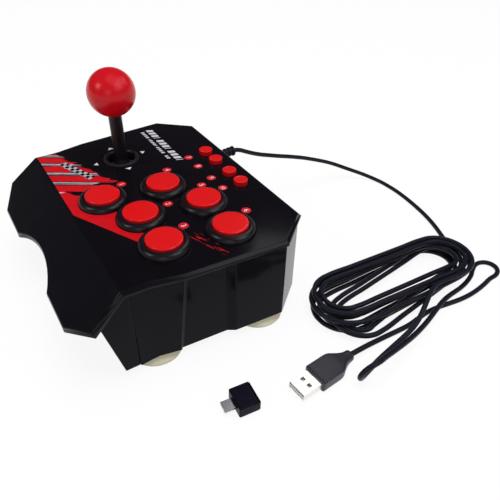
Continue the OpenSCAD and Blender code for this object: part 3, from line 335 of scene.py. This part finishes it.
# %% Metals, boards and vinyl
def metal(name, colour, rough, lines):
    finish = new_finish(name)
    drawn = finish.noise(1.2, 3, lines)
    cloud = finish.noise(6, 3)
    dark = [c * 0.9 for c in colour[:3]] + [1.0]
    return finish.shade({
        "Base Color": finish.mix(cloud, dark, colour),
        "Metallic": 1.0,
        "Roughness": rough * 0.8 + drawn * (rough * 0.4),
        "Normal": finish.bump(drawn, 0.004),
    })


def board():
    finish = new_finish("board_green")
    tracks = [finish.noise(3.2, 0, s) for s in ((1, 0.12, 1), (0.12, 1, 1))]
    copper = ((abs(tracks[0] - 0.5) < 0.035) | (abs(tracks[1] - 0.5) < 0.03))
    return finish.shade({
        "Base Color": finish.mix(copper, rgb(26, 84, 48), rgb(66, 128, 76)),
        "Roughness": 0.32 + copper * 0.1,
        "Normal": finish.bump(copper, 0.03),
    })


def vinyl():
    finish = new_finish("foot_clear")
    cloud = finish.noise(5, 4)
    return finish.shade({
        "Base Color": finish.mix(cloud, rgb(214, 205, 172), rgb(240, 235, 212)),
        "Roughness": 0.22 + cloud * 0.2,
        "Normal": finish.bump(cloud, 0.05),
        "Transmission Weight": 0.62,
        "IOR": 1.45,
    })


steel = metal("steel", rgb(196, 197, 201), 0.3, (1, 1, 0.1))
shell_steel = metal("shell_steel", rgb(246, 243, 240), 0.3, (0.1, 1, 1))
board_green = board()
foot_clear = vinyl()
print("materials so far", len(bpy.data.materials))

# %% [markdown]
# ## Printed panel
# The flat of the top cover carries a print under its gloss: a red and white graphic at the
# front left, a broad red stripe in front of the buttons, and rows of slanted bars at the
# back. A print has sharp edges and no thickness, so it belongs in the colour of the cover
# and not in its mesh. Each shape is a mask from the place on the panel in millimetres, and
# a stretched noise eats into the red ones, as a dry brush would.

# %% A slanted frame, a band, and the marks of a dry brush
def along(x, y, x0, y0, degrees):
    c, s = math.cos(math.radians(degrees)), math.sin(math.radians(degrees))
    return (x - x0) * c + (y - y0) * s, (y - y0) * c - (x - x0) * s


def inside(value, low, high):
    return (value > low) & (value < high)


def brush_marks(finish, u, v, detail=3.0):
    place = finish.node("ShaderNodeCombineXYZ", {}, {0: u, 1: v})
    return finish.node("ShaderNodeTexNoise", {}, {"Vector": place, "Scale": 1.0, "Detail": detail})


print("10 mm to the right is, in a frame at 27.2 degrees,",
      [round(value, 2) for value in along(10, 0, 0, 0, 27.2)])


# %% Broad red stripe in front of the buttons, and stray marks beside the third one
STRIPE_WIDTH = 15.5


def stripe(finish, x, y):
    u, v = along(x, y, 2, -42.8, 27.2)
    ragged = (brush_marks(finish, u * 0.06, v * 0.8) - 0.5) * 26
    return inside(v, 0, STRIPE_WIDTH) & inside(u + ragged, -25, 49) & (y > -42.6)


def scratch(finish, x, y):
    u, v = along(x, y, 44, 4.5, 20)
    brush = brush_marks(finish, u * 0.09, v * 0.9, 4.0)
    return inside(u, 2, 36) & inside(v, -3.2, 3.2) & (brush > 0.6)


print("stripe is", STRIPE_WIDTH, "mm broad")


# %% Slanted red and pale bars with a checked band, at the front left
BAR_PITCH, SQUARE_U, SQUARE_V = 13.5, 2.5, 2.6


def graphic(finish, x, y):
    u, v = along(x, y, -73, -30, 21.8)
    brush = brush_marks(finish, x * 0.5 - y * 0.3, y * 0.05)
    field = inside(x, -79, -14) & (y > -42.4) & (v + (brush - 0.5) * 9 < 0)
    lean = (x - (y + 43.6) * 0.62 + 90) / BAR_PITCH
    step = lean % 1
    red = field & ((step < 0.6) | (brush > 0.58))
    pale = field & (inside(step, 0.68, 0.79) | inside(step, 0.86, 0.9)) & (x < -24)
    check = inside(u, 12, 42) & inside(v, -8.2, -3)
    squares = (math.floor(u / SQUARE_U) + math.floor(v / SQUARE_V)) % 2 > 0.5
    return red & (1 - check), (pale & (1 - check)) | (check & squares)


print("a bar each", BAR_PITCH, "mm, squares of", SQUARE_U, "by", SQUARE_V, "mm")


# %% Two rows of slanted bars at the back, broken into groups
def rows(x, y):
    lean = x - (y - 34) * 0.35
    title = inside(y, 36.6, 41.2) & inside(lean, -79, -24) & (lean % 4.6 < 3.1)
    words = (lean + 79) % 18.4 < 15.4
    small = inside(y, 32.2, 34.4) & inside(lean, -76, -30) & (lean % 2.9 < 1.8)
    return (title & words) | (small & ((lean + 76) % 13.5 < 11.2))


print("the rows are", round(41.2 - 36.6, 1), "and", round(34.4 - 32.2, 1), "mm high")


# %% The cover's finish
def cover_finish():
    finish = new_finish("cover_black")
    x, y, z = finish.xyz()
    panel = z > TOP - 0.08
    red_a = stripe(finish, x, y)
    red_b, pale = graphic(finish, x, y)
    grey = finish.mix(finish.noise(4, 2), rgb(120, 118, 130), rgb(214, 210, 216))
    cloud = finish.noise(12, 4)
    black = finish.mix(cloud, rgb(11, 8, 13), rgb(17, 14, 19))
    # Painted sheen: off the flat top, on the bevels, sides and apron, the cover's black is made
    # lighter, standing in for what those faces mirror.
    edge = finish.mix(panel, finish.mix(cloud, rgb(15, 14, 18), rgb(20, 19, 24)), black)
    paint = finish.mix(finish.noise(7, 3), rgb(186, 16, 26), rgb(216, 22, 32))
    printed = finish.mix((red_a | red_b | scratch(finish, x, y)) & panel, edge, paint)
    printed = finish.mix(pale & panel, printed, grey)
    printed = finish.mix(rows(x, y) & panel, printed, rgb(206, 204, 214))
    u, v = along(x, y, 30.1, 57.8, 78.6)
    crease = (abs(v) < 0.25) & inside(u, 0, 12) & panel
    skin = finish.noise(2.5, 2) * 0.3 + crease * 4
    return finish.shade({
        "Base Color": printed,
        "Roughness": 0.12 + cloud * 0.06,
        "Normal": finish.bump(skin, 0.01),
        "Specular IOR Level": 0.14,
    })


cover_black = cover_finish()
print("nodes in the cover's finish", len(cover_black.node_tree.nodes))

# %% [markdown]
# ## Cover and tub
# Both are flat sheets of plastic bent along straight creases, which CAD draws better than a
# modeller's hand. What it lacks is the small radius that every moulded edge has and that
# catches the light. So their meshes are copied, the facets that lie in one plane are joined,
# and a bevel rounds only the long edges; the many short ones round the holes are left.

# %% What every piece needs: a mesh, a body, a finish and the solid it stands for
def add_piece(name, mesh, body, material, nodes=(), at=(0, 0, 0)):
    piece = bpy.data.objects.new(name, mesh)
    bpy.context.scene.collection.objects.link(piece)
    mesh.materials.clear()
    mesh.materials.append(material)
    piece.location = Vector(at) * MM
    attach(piece, body)
    if nodes:
        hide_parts(*nodes)
    return piece


def soften(mesh, degrees):
    mesh.polygons.foreach_set("use_smooth", [True] * len(mesh.polygons))
    mesh.set_sharp_from_angle(angle=math.radians(degrees))


print("solids in the frame", len(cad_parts))


# %% Copy of a solid whose coplanar facets are one face
SAME_PLACE = 0.08 * MM
ONE_PLANE, FLAT_EDGE, BEVELLED_EDGE = math.radians(0.5), math.radians(1), math.radians(20)


def clean_copy(solid):
    work = bmesh.new()
    work.from_mesh(solid.data)
    bmesh.ops.transform(work, matrix=solid.matrix_world, verts=work.verts)
    bmesh.ops.remove_doubles(work, verts=work.verts, dist=SAME_PLACE)
    bmesh.ops.dissolve_limit(work, angle_limit=ONE_PLANE, verts=work.verts, edges=work.edges)
    flat = [edge for edge in work.edges if edge.is_manifold and edge.calc_face_angle() < FLAT_EDGE]
    bmesh.ops.dissolve_edges(work, edges=flat, use_verts=True)
    return work


def mark_edges(work, shortest):
    weight = work.edges.layers.float.new("bevel_weight_edge")
    marked = [edge for edge in work.edges if edge.is_manifold
              and edge.calc_face_angle() > BEVELLED_EDGE and edge.calc_length() > shortest * MM]
    for edge in marked:
        edge[weight] = 1.0
    return len(marked)


print("edges of less than", round(math.degrees(BEVELLED_EDGE)), "degrees are not rounded")


# %% Dressed solid: the copy, with its long edges rounded
def round_edges(piece, width, segments):
    bevel = piece.modifiers.new("edges", "BEVEL")
    bevel.limit_method = "WEIGHT"
    bevel.width = width * MM
    bevel.segments = segments
    bevel.use_clamp_overlap = False
    even = piece.modifiers.new("even", "WEIGHTED_NORMAL")
    even.weight = 100
    even.keep_sharp = True


def dressed(node, name, material, width, shortest, segments=3):
    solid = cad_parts[node]
    mesh = solid.data.copy()
    mesh.name = name
    work = clean_copy(solid)
    count = mark_edges(work, shortest)
    work.to_mesh(mesh)
    work.free()
    soften(mesh, 10)
    for edge, rounded in zip(mesh.edges, mesh.attributes["bevel_weight_edge"].data):
        edge.use_edge_sharp = edge.use_edge_sharp and not rounded.value
    piece = add_piece(name, mesh, "base", material, [node])
    round_edges(piece, width, segments)
    print(name, "has", len(mesh.polygons), "faces and", count, "rounded edges")
    return piece


dressed("top_cover", "top_cover_shell", cover_black, 0.4, 3)
dressed("base_tub", "tub_shell", tub_black, 0.7, 3)

# %% [markdown]
# ## Turned pieces
# Rims, caps, keys, feet, the ball and the lever's trim are round. A cylinder with a bevel
# would do for a distant view, but the light on such pieces follows the whole section. So
# the section is drawn as points from the axis outward, its corners are filleted, and the
# line is swept round in 64 to 128 steps.

# %% Fillet: a third number on a point is the radius of its corner
def fillet(points, steps=5):
    out = []
    for i, point in enumerate(points):
        radius = point[2] if len(point) > 2 else 0
        here = Vector(point[:2])
        if not radius or i in (0, len(points) - 1):
            out.append(tuple(here))
            continue
        before, after = Vector(points[i - 1][:2]), Vector(points[i + 1][:2])
        a, b = (before - here).normalized(), (after - here).normalized()
        shorter = min((before - here).length, (after - here).length)
        reach = min(radius / math.tan(a.angle(b) / 2), shorter * 0.49)
        start, end = here + a * reach, here + b * reach
        for k in range(steps + 1):
            t = k / steps
            out.append(tuple(start * (1 - t) ** 2 + here * 2 * t * (1 - t) + end * t ** 2))
    return out


print("a section with one rounded corner has", len(fillet([(0, 0), (1, 0, 0.2), (1, 1)])), "points")


# %% Lathe
def skinned(name, verts, faces, degrees=32):
    mesh = bpy.data.meshes.new(name)
    mesh.from_pydata(verts, [], faces)
    mesh.update()
    work = bmesh.new()
    work.from_mesh(mesh)
    bmesh.ops.recalc_face_normals(work, faces=work.faces)
    work.to_mesh(mesh)
    work.free()
    soften(mesh, degrees)
    return mesh


def lathe(name, points, steps=128):
    section = fillet(points)
    verts, faces, rings = [], [], []
    for r, z in section:
        if r < 1e-6:
            rings.append([len(verts)] * steps)
            verts.append((0, 0, z * MM))
        else:
            rings.append(list(range(len(verts), len(verts) + steps)))
            for k in range(steps):
                a = 2 * math.pi * k / steps
                verts.append((r * MM * math.cos(a), r * MM * math.sin(a), z * MM))
    for low, high in zip(rings, rings[1:]):
        for k in range(steps):
            j = (k + 1) % steps
            corners = list(dict.fromkeys((low[k], low[j], high[j], high[k])))
            if len(corners) > 2:
                faces.append(corners)
    return skinned(name, verts, faces)


def turned(name, mesh, at, body, material, node):
    return add_piece(name, mesh, body, material, [node], at)


# %% [markdown]
# ## Buttons
# A large button is a red cap that slides in a black barrel, and the barrel's head is a
# swollen ring on the panel. The ring is highest close to the cap and falls outward in a
# quarter of an ellipse, and the cap's top is flat with a round shoulder. Caps ride on their
# own bodies, because each can be pressed; rims stay with the base. All six share one mesh of
# each kind.

# %% Rims and caps
button_places = [(sx * HALF_W, sy * HALF_D) for sx, sy in (
    (-0.033, -0.319), (0.285, -0.145), (0.631, -0.137),
    (0.02, 0.199), (0.347, 0.383), (0.699, 0.387))]
quarter = [math.radians(a) for a in range(0, 91, 6)]
rim_section = [(11.59 + 3.06 * math.cos(a), 3.9 * math.sin(a)) for a in quarter] + [
    (11.2, 3.86), (10.82, 3.67), (10.5, 3.34), (10.4, 3.0), (10.4, -6.85), (10.94, -6.85),
    (10.94, -14), (2.54, -14), (2.54, -16), (12.2, -16, 0.6), (12.2, -0.02), (14.65, 0)]
rim_mesh = lathe("button_rim", rim_section)
cap_section = [
    (0, 5.14), (8.6, 5.2), (10.26, 5.2, 0.85), (10.26, -7), (10.8, -7), (10.8, -8.4), (8.81, -8.4),
    (8.81, 2.6), (2.4, 2.6), (2.4, -17.9), (0, -17.9)]
cap_mesh = lathe("button_cap", cap_section)
for i, (x, y) in enumerate(button_places, 1):
    turned(f"rim_{i}", rim_mesh, (x, y, TOP), "base", trim_black, f"button_rim_{i}")
    turned(f"cap_{i}", cap_mesh, (x, y, TOP), f"button_{i}", button_red, f"button_cap_{i}")
print("faces in a rim and a cap", len(rim_mesh.polygons), len(cap_mesh.polygons))

# %% Small keys, with their dished tops
key_places = [(share * HALF_W, 0.818 * HALF_D) for share in (-0.284, -0.123, 0.084, 0.246)]
key_section = [
    (0, 2.42), (2.4, 2.48), (3.5, 2.66), (3.9, 2.8, 0.2), (4.5, 2.8, 0.45), (4.5, -3.54),
    (5.3, -3.54), (5.3, -4.74), (1.6, -4.74), (1.6, -5.75), (0, -5.75)]
key_mesh = lathe("key_cap", key_section, 96)
for i, (x, y) in enumerate(key_places, 1):
    turned(f"key_{i}_cap", key_mesh, (x, y, TOP), f"key_{i}", button_red, f"key_cap_{i}")
print("faces in a key", len(key_mesh.polygons))

# %% [markdown]
# ## Lever
# The ball is a turned sphere with a small flat where it meets the sleeve. Below it come a black
# sleeve that widens at its foot, a domed dust cover that slides under the panel as the lever
# tilts, and a raised collar round the hole. All but the collar ride on the lever's body.

# %% Ball
stick_x, stick_y, pivot_z, ball_z = -0.54 * HALF_W, 0.081 * HALF_D, 46.0, 107.6
BALL_R, BALL_FLAT, SHAFT_R = 15, 14.3, 3.05
lowest = math.acos(BALL_FLAT / BALL_R)
arc = [lowest + (math.pi - lowest) * k / 48 for k in range(48)]
ball_section = [(0, 7.5), (SHAFT_R, 7.5), (SHAFT_R, -BALL_FLAT)] + [
    (BALL_R * math.sin(a), -BALL_R * math.cos(a)) for a in arc] + [(0, BALL_R)]
turned("ball", lathe("ball", ball_section), (stick_x, stick_y, ball_z), "lever",
       ball_red, "ball_top")
print("ball's centre is", ball_z - pivot_z, "mm above the pivot")

# %% Sleeve
sleeve_section = [
    (SHAFT_R, 13.5), (5.5, 13.5, 0.3), (5.25, 14.4), (4.8, 15.3), (4.45, 16.3), (4.25, 17.6),
    (4.2, 19.5), (4.2, 47.3), (SHAFT_R, 47.3), (SHAFT_R, 13.5)]
turned("sleeve", lathe("sleeve", sleeve_section, 96), (stick_x, stick_y, pivot_z), "lever",
       sleeve_black, "shaft_sleeve")
print("points in the sleeve's section", len(sleeve_section))


# %% Dust cover: two arcs, the outer one down and the inner one back up
def arc_points(radius, degrees):
    angles = [math.radians(a) for a in degrees]
    return [(radius * math.sin(a), radius * math.cos(a)) for a in angles]


outer, inner_arc = arc_points(13.5, range(14, 63, 3)), arc_points(12.3, range(62, 23, -3))
dust_section = [(SHAFT_R, 13.46)] + outer + inner_arc + [
    (4.8, 11.3), (4.8, 5), (SHAFT_R, 5), (SHAFT_R, 13.46)]
turned("dust_dome", lathe("dust_dome", dust_section), (stick_x, stick_y, pivot_z), "lever",
       dome_black, "dust_cover")
print("points in the dust cover's section", len(dust_section))

# %% Collar
collar_section = [
    (9.2, -3.4), (10.1, -3.4), (10.1, 0), (11.8, 0), (11.44, 0.84, 0.3), (10.84, 1.2, 0.4),
    (9.8, 1.2, 0.4), (9.2, 0.48, 0.3), (9.2, -3.4)]
turned("collar", lathe("collar", collar_section), (stick_x, stick_y, TOP), "base",
       collar_black, "stick_collar")
print("lever stands on", round(stick_x, 1), round(stick_y, 1))

# %% [markdown]
# ## Suction feet
# A foot is a thin vinyl cup with a thick neck; its stem is pulled through the floor and
# holds by its head. The section follows both faces of the cup, so light passes through two
# real walls. That is what makes the rim look bright and the middle milky.

# %% Feet
foot_section = [
    (0, 3.0), (4, 2.9), (8, 2.2), (12, 1.1), (14.6, 0.12), (15.5, 0.0, 0.25), (15.5, 0.62, 0.3),
    (14.2, 1.5), (12.2, 2.45), (9.8, 3.3), (7.2, 4.1), (5.2, 4.75), (4.4, 5.1), (4.4, 5.6),
    (2.9, 5.6), (2.9, 8.05), (4.0, 8.05), (3.4, 9.3, 0.4), (1.8, 9.85), (0, 9.85)]
foot_mesh = lathe("foot", foot_section)
foot_places = {
    "foot_front_left": (-0.741, -0.357), "foot_front_right": (0.741, -0.357),
    "foot_back_left": (-0.813, 0.566), "foot_back_right": (0.813, 0.566)}
for node, (sx, sy) in foot_places.items():
    turned(node.replace("foot", "suction_foot"), foot_mesh, (sx * HALF_W, sy * HALF_D, 0), "base",
           foot_clear, node)
print("feet", len(foot_places))

# %% [markdown]
# ## Strain relief
# Where the cable leaves the back wall, a soft ribbed boot keeps it from kinking. Its four ribs
# grow toward the cable. It is turned like the other round pieces and then laid on its side.

# %% Ribbed boot
BOOT_PLACE, BOOT_END = (-0.338 * HALF_W, 70.2, 54.5), 13.3
relief_section = [(0, -3.85), (3.6, -3.85, 0.2), (3.6, -2.45), (2.6, -2.45), (2.6, 1.3)]
for k in range(1, 5):
    start, wide = 3 * k - 0.2, 2.6 + 0.225 * k
    relief_section += [(2.5, start - 0.3), (wide, start, 0.35), (wide, start + 1.5, 0.35)]
    if k < 4:
        relief_section += [(2.45, start + 1.8)]
relief_section += [(1.7, BOOT_END), (0, BOOT_END)]
relief_mesh = lathe("boot", relief_section, 64)
relief_mesh.transform(Matrix.Rotation(-math.pi / 2, 4, "X"))
turned("cable_boot", relief_mesh, BOOT_PLACE, "base", cord_black, "strain_relief")
print("boot ends at y", BOOT_PLACE[1] + BOOT_END)

# %% [markdown]
# ## Plug
# The plug has an overmoulded grip, a plated shell with two windows and a white tongue. The
# grip starts as a rounded bar and shrinks in a hollow curve to the cable, so it is lofted:
# rounded rectangles of changing size are set along its length and skinned.

# %% Loft of rounded rectangles
def loft(name, sections, steps=10):
    verts, faces = [], []
    for y, half_x, half_z, corner in sections:
        for sx, sz, first in ((1, 1, 0), (-1, 1, 90), (-1, -1, 180), (1, -1, 270)):
            for k in range(steps):
                a = math.radians(first + 90 * k / (steps - 1))
                verts.append(((sx * (half_x - corner) + corner * math.cos(a)) * MM, y * MM,
                              (sz * (half_z - corner) + corner * math.sin(a)) * MM))
    ring_size = 4 * steps
    for i in range(len(sections) - 1):
        for k in range(ring_size):
            a, b = i * ring_size + k, i * ring_size + (k + 1) % ring_size
            faces.append((a, b, b + ring_size, a + ring_size))
    faces.append(tuple(range(ring_size)))
    faces.append(tuple(range(len(verts) - ring_size, len(verts))))
    return skinned(name, verts, faces, 40)


grip_sections = [
    (0.02, 7.0, 3.4, 0.9), (0.12, 7.3, 3.7, 1.0), (0.5, 7.55, 3.95, 1.2), (1.4, 7.6, 4.0, 1.3),
    (13.2, 7.6, 4.0, 1.3), (14.8, 7.5, 3.98, 1.4), (16.4, 7.05, 3.92, 1.6), (18.2, 6.0, 3.8, 1.8),
    (20, 5.0, 3.62, 2.0), (22, 4.1, 3.4, 2.2), (24, 3.5, 3.2, 2.4), (26.4, 3.25, 3.18, 2.7),
    (27.4, 3.2, 3.15, 2.8), (27.78, 2.9, 2.9, 2.6)]
grip = turned("plug_grip", loft("plug_grip", grip_sections), (134.2, 36.3, 4), "base",
              plug_black, "usb_plug_body")
grip.rotation_euler = (0, 0, math.radians(5))
print("grip is", len(grip.data.polygons), "faces")

# %% Shell, tongue and the loose adapter
shell = dressed("usb_plug_shell", "plug_shell", shell_steel, 0.14, 1.5)
tongue = dressed("usb_plug_tongue", "plug_tongue", tongue_white, 0.12, 1)
dressed("adapter_body", "adapter_grip", adapter_black, 0.9, 2, 4)
dressed("adapter_plug", "adapter_micro_plug", steel, 0.12, 1)

# %% [markdown]
# ## Labels
# Beside each button and key sits a small red disc with a white number, and four white
# triangles round the lever point the ways it tilts. They could be masks like the rest of
# the print, but digits need outlines, so they are thin films: discs, triangles and numbers
# laid a few hundredths of a millimetre above the panel, each layer one mesh.

# %% Discs
def film(name, shapes, height, material):
    verts, faces = [], []
    for shape in shapes:
        faces.append(tuple(range(len(verts), len(verts) + len(shape))))
        verts += [(x * MM, y * MM, (TOP + height) * MM) for x, y in shape]
    mesh = bpy.data.meshes.new(name)
    mesh.from_pydata(verts, [], faces)
    mesh.update()
    return add_piece(name, mesh, "base", material)


label_places = [
    (-15.4, -6.6), (19.4, 8.8), (43.9, 6.8), (-16.9, 25.4), (11, 36), (49.2, 45.1),
    (-24.7, 45.2), (-11, 45.3), (6.5, 45.5), (20.6, 45.8)]
label_red = plastic("label_red", rgb(205, 28, 40), 0.35, 0.5, 0.002, 0.25, spread=0.04)
label_white = plastic("label_white", rgb(232, 230, 234), 0.35, 0.5, 0.002, 0.25, spread=0.03)
circle = [(math.cos(math.radians(a)), math.sin(math.radians(a))) for a in range(0, 360, 8)]
film("label_discs", [[(x + 2.9 * c, y + 2.9 * s) for c, s in circle] for x, y in label_places],
     0.03, label_red)
print("discs", len(label_places))

# %% Triangles that point away from the lever
pointers = []
for middle in map(Vector, ((-63.5, 4.1), (-47.7, 21.6), (-47.3, -11.7), (-31.3, 5.0))):
    out = (middle - Vector((stick_x, stick_y))).normalized()
    side = Vector((-out.y, out.x)) * 2.1
    foot = middle - out * 1.25
    pointers.append([tuple(middle + out * 1.6), tuple(foot + side), tuple(foot - side)])
film("label_pointers", pointers, 0.03, label_white)
print("triangles", len(pointers))


# %% Numbers
def numbers(name, places, size, height):
    work = bmesh.new()
    for i, (x, y) in enumerate(places, 1):
        text = bpy.data.curves.new("digit", "FONT")
        text.body, text.size = str(i), size * MM * (0.8 if i > 9 else 1)
        text.align_x, text.align_y = "CENTER", "CENTER"
        holder = bpy.data.objects.new("digit", text)
        bpy.context.scene.collection.objects.link(holder)
        bpy.context.view_layer.update()
        settled = holder.evaluated_get(bpy.context.evaluated_depsgraph_get())
        flat = bpy.data.meshes.new_from_object(settled)
        flat.transform(Matrix.Translation(Vector((x, y, TOP + height)) * MM))
        work.from_mesh(flat)
        bpy.data.objects.remove(holder)
        bpy.data.meshes.remove(flat)
        bpy.data.curves.remove(text)
    mesh = bpy.data.meshes.new(name)
    work.to_mesh(mesh)
    work.free()
    return add_piece(name, mesh, "base", label_white)


digits = numbers("label_numbers", label_places, 4.4, 0.05)
print("labels", len(label_places), "digit faces", len(digits.data.polygons))

# %% [markdown]
# ## Inner pieces
# Springs, boards, switches, the lever's gimbal and the screws are true solids already and
# are rarely seen, so they keep their meshes and only get the finish of their kind.

# %% Finishes of the inner pieces
inner = {
    steel: ["case_screws", "stick_shaft", "stick_screws", "stick_spring", "shaft_clip",
            "gate_screws", "board_screws"] + [f"button_spring_{i}" for i in range(1, 7)],
    ivory: ["gimbal_ring", "stick_actuator", "gate_plate"],
    hub_red: ["stick_hub"],
    switch_black: ["stick_switches", "button_switches", "key_switches", "control_chip",
                   "stick_housing"],
    board_green: ["main_board", "key_board"],
    cord_black: ["inner_leads"],
}
for material, nodes in inner.items():
    for node in nodes:
        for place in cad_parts[node].material_slots:
            place.material = material
print("inner pieces", sum(len(nodes) for nodes in inner.values()))

# %% [markdown]
# ## The cable's finish
# The curve made at the start now gets its soft black skin and rides with the base, and the frame's
# own pieces of cable are hidden.

cord.data.materials.append(cord_black)
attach(cord, "base")
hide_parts("cord_lead", "cord_hank", "cord_tail")

# %% [markdown]
# ## Floor, world and lamps
# The stick stands on a white sweep in soft light. White comes from the floor's and the
# world's own colour as the camera and reflections see it, so the lamps need not burn the
# scene out, and the floor still takes the shadow. The soft top lamp lights only matt
# colour; the other four are there for gloss alone, because on black plastic nearly all that
# shows is what it mirrors. The last and smallest lights the plug's shell.

# %% White floor that keeps the shadow
def floor_finish():
    finish = new_finish("floor_white")
    rays = [finish.node("ShaderNodeLightPath", output=i) for i in (0, 3, 6)]
    seen = rays[0] | rays[1] | rays[2]
    grey = finish.noise(40, 2) * 0.01 + 0.9
    matt = finish.node("ShaderNodeBsdfDiffuse", {}, {"Color": (1, 1, 1, 1), "Roughness": grey})
    glow = finish.node("ShaderNodeEmission", {}, {"Color": (1, 1, 1, 1), "Strength": 1.0})
    surface = finish.node("ShaderNodeMixShader", {}, {0: seen * 0.9, 1: matt, 2: glow})
    finish.node("ShaderNodeOutputMaterial", {}, {"Surface": surface})
    return finish.owner


floor_mesh = bpy.data.meshes.new("floor")
floor_mesh.from_pydata([(-4, -4, 0), (4, -4, 0), (4, 4, 0), (-4, 4, 0)], [], [(0, 1, 2, 3)])
floor_mesh.materials.append(floor_finish())
floor = bpy.data.objects.new("floor", floor_mesh)
bpy.context.scene.collection.objects.link(floor)
floor.location.z = -0.0002
print("floor laid")


# %% World: white for the camera, dim above for gloss, even for matt colour
def make_world():
    world = bpy.data.worlds.new("studio")
    bpy.context.scene.world = world
    finish = Finish(world)
    rays = [finish.node("ShaderNodeLightPath", output=i) for i in (0, 3, 6)]
    direction = finish.node("ShaderNodeTexCoord", output=0)
    height = finish.node("ShaderNodeSeparateXYZ", {}, {0: direction}, 2)
    white, dim, even = (1, 1, 1, 1), (0.05, 0.05, 0.055, 1), (0.45, 0.45, 0.46, 1)
    stops = [(0.0, white), (0.02, white), (0.08, dim), (1.0, dim)]
    dome = finish.node("ShaderNodeValToRGB", {"stops": stops}, {0: height})
    plain = finish.mix(rays[0] | rays[2], even, white)
    colour = finish.mix(rays[1], plain, dome)
    surface = finish.node("ShaderNodeBackground", {}, {"Color": colour, "Strength": 1.0})
    finish.node("ShaderNodeOutputWorld", {}, {"Surface": surface})


make_world()
print("world", bpy.context.scene.world.name)


# %% Lamps
def soft_box(name, place, target, size, power, lights="gloss"):
    light = bpy.data.lights.new(name, "AREA")
    light.shape, light.size, light.energy = "SQUARE", size, power
    lamp = bpy.data.objects.new(name, light)
    bpy.context.scene.collection.objects.link(lamp)
    lamp.location = place
    lamp.rotation_euler = (Vector(target) - Vector(place)).to_track_quat("-Z", "Y").to_euler()
    lamp.visible_camera = False
    lamp.visible_diffuse = lamp.visible_transmission = lights == "matt"
    lamp.visible_glossy = lights == "gloss"
    return lamp


soft_box("top_lamp", (0.15, 0.1, 1.3), (0.03, 0.05, 0), 0.9, 11, lights="matt")
soft_box("right_box", (0.55, 0.37, 0.73), (-0.03, 0.0, 0.07), 0.55, 2.4)
soft_box("side_box", (0.83, -0.55, 0.48), (0.03, -0.05, 0.05), 0.5, 1.0)
soft_box("front_box", (-0.085, -0.754, 0.678), (-0.047, 0.006, 0.1), 0.3, 1.7)
soft_box("shell_card", (0.01, 0.15, 0.24), (0.133, 0.03, 0.004), 0.14, 0.1)

# %% [markdown]
# ## Last steps
# The view transform is the plain one, so a colour renders as it is written.

# %% View transform
bpy.context.scene.view_settings.view_transform = "Standard"
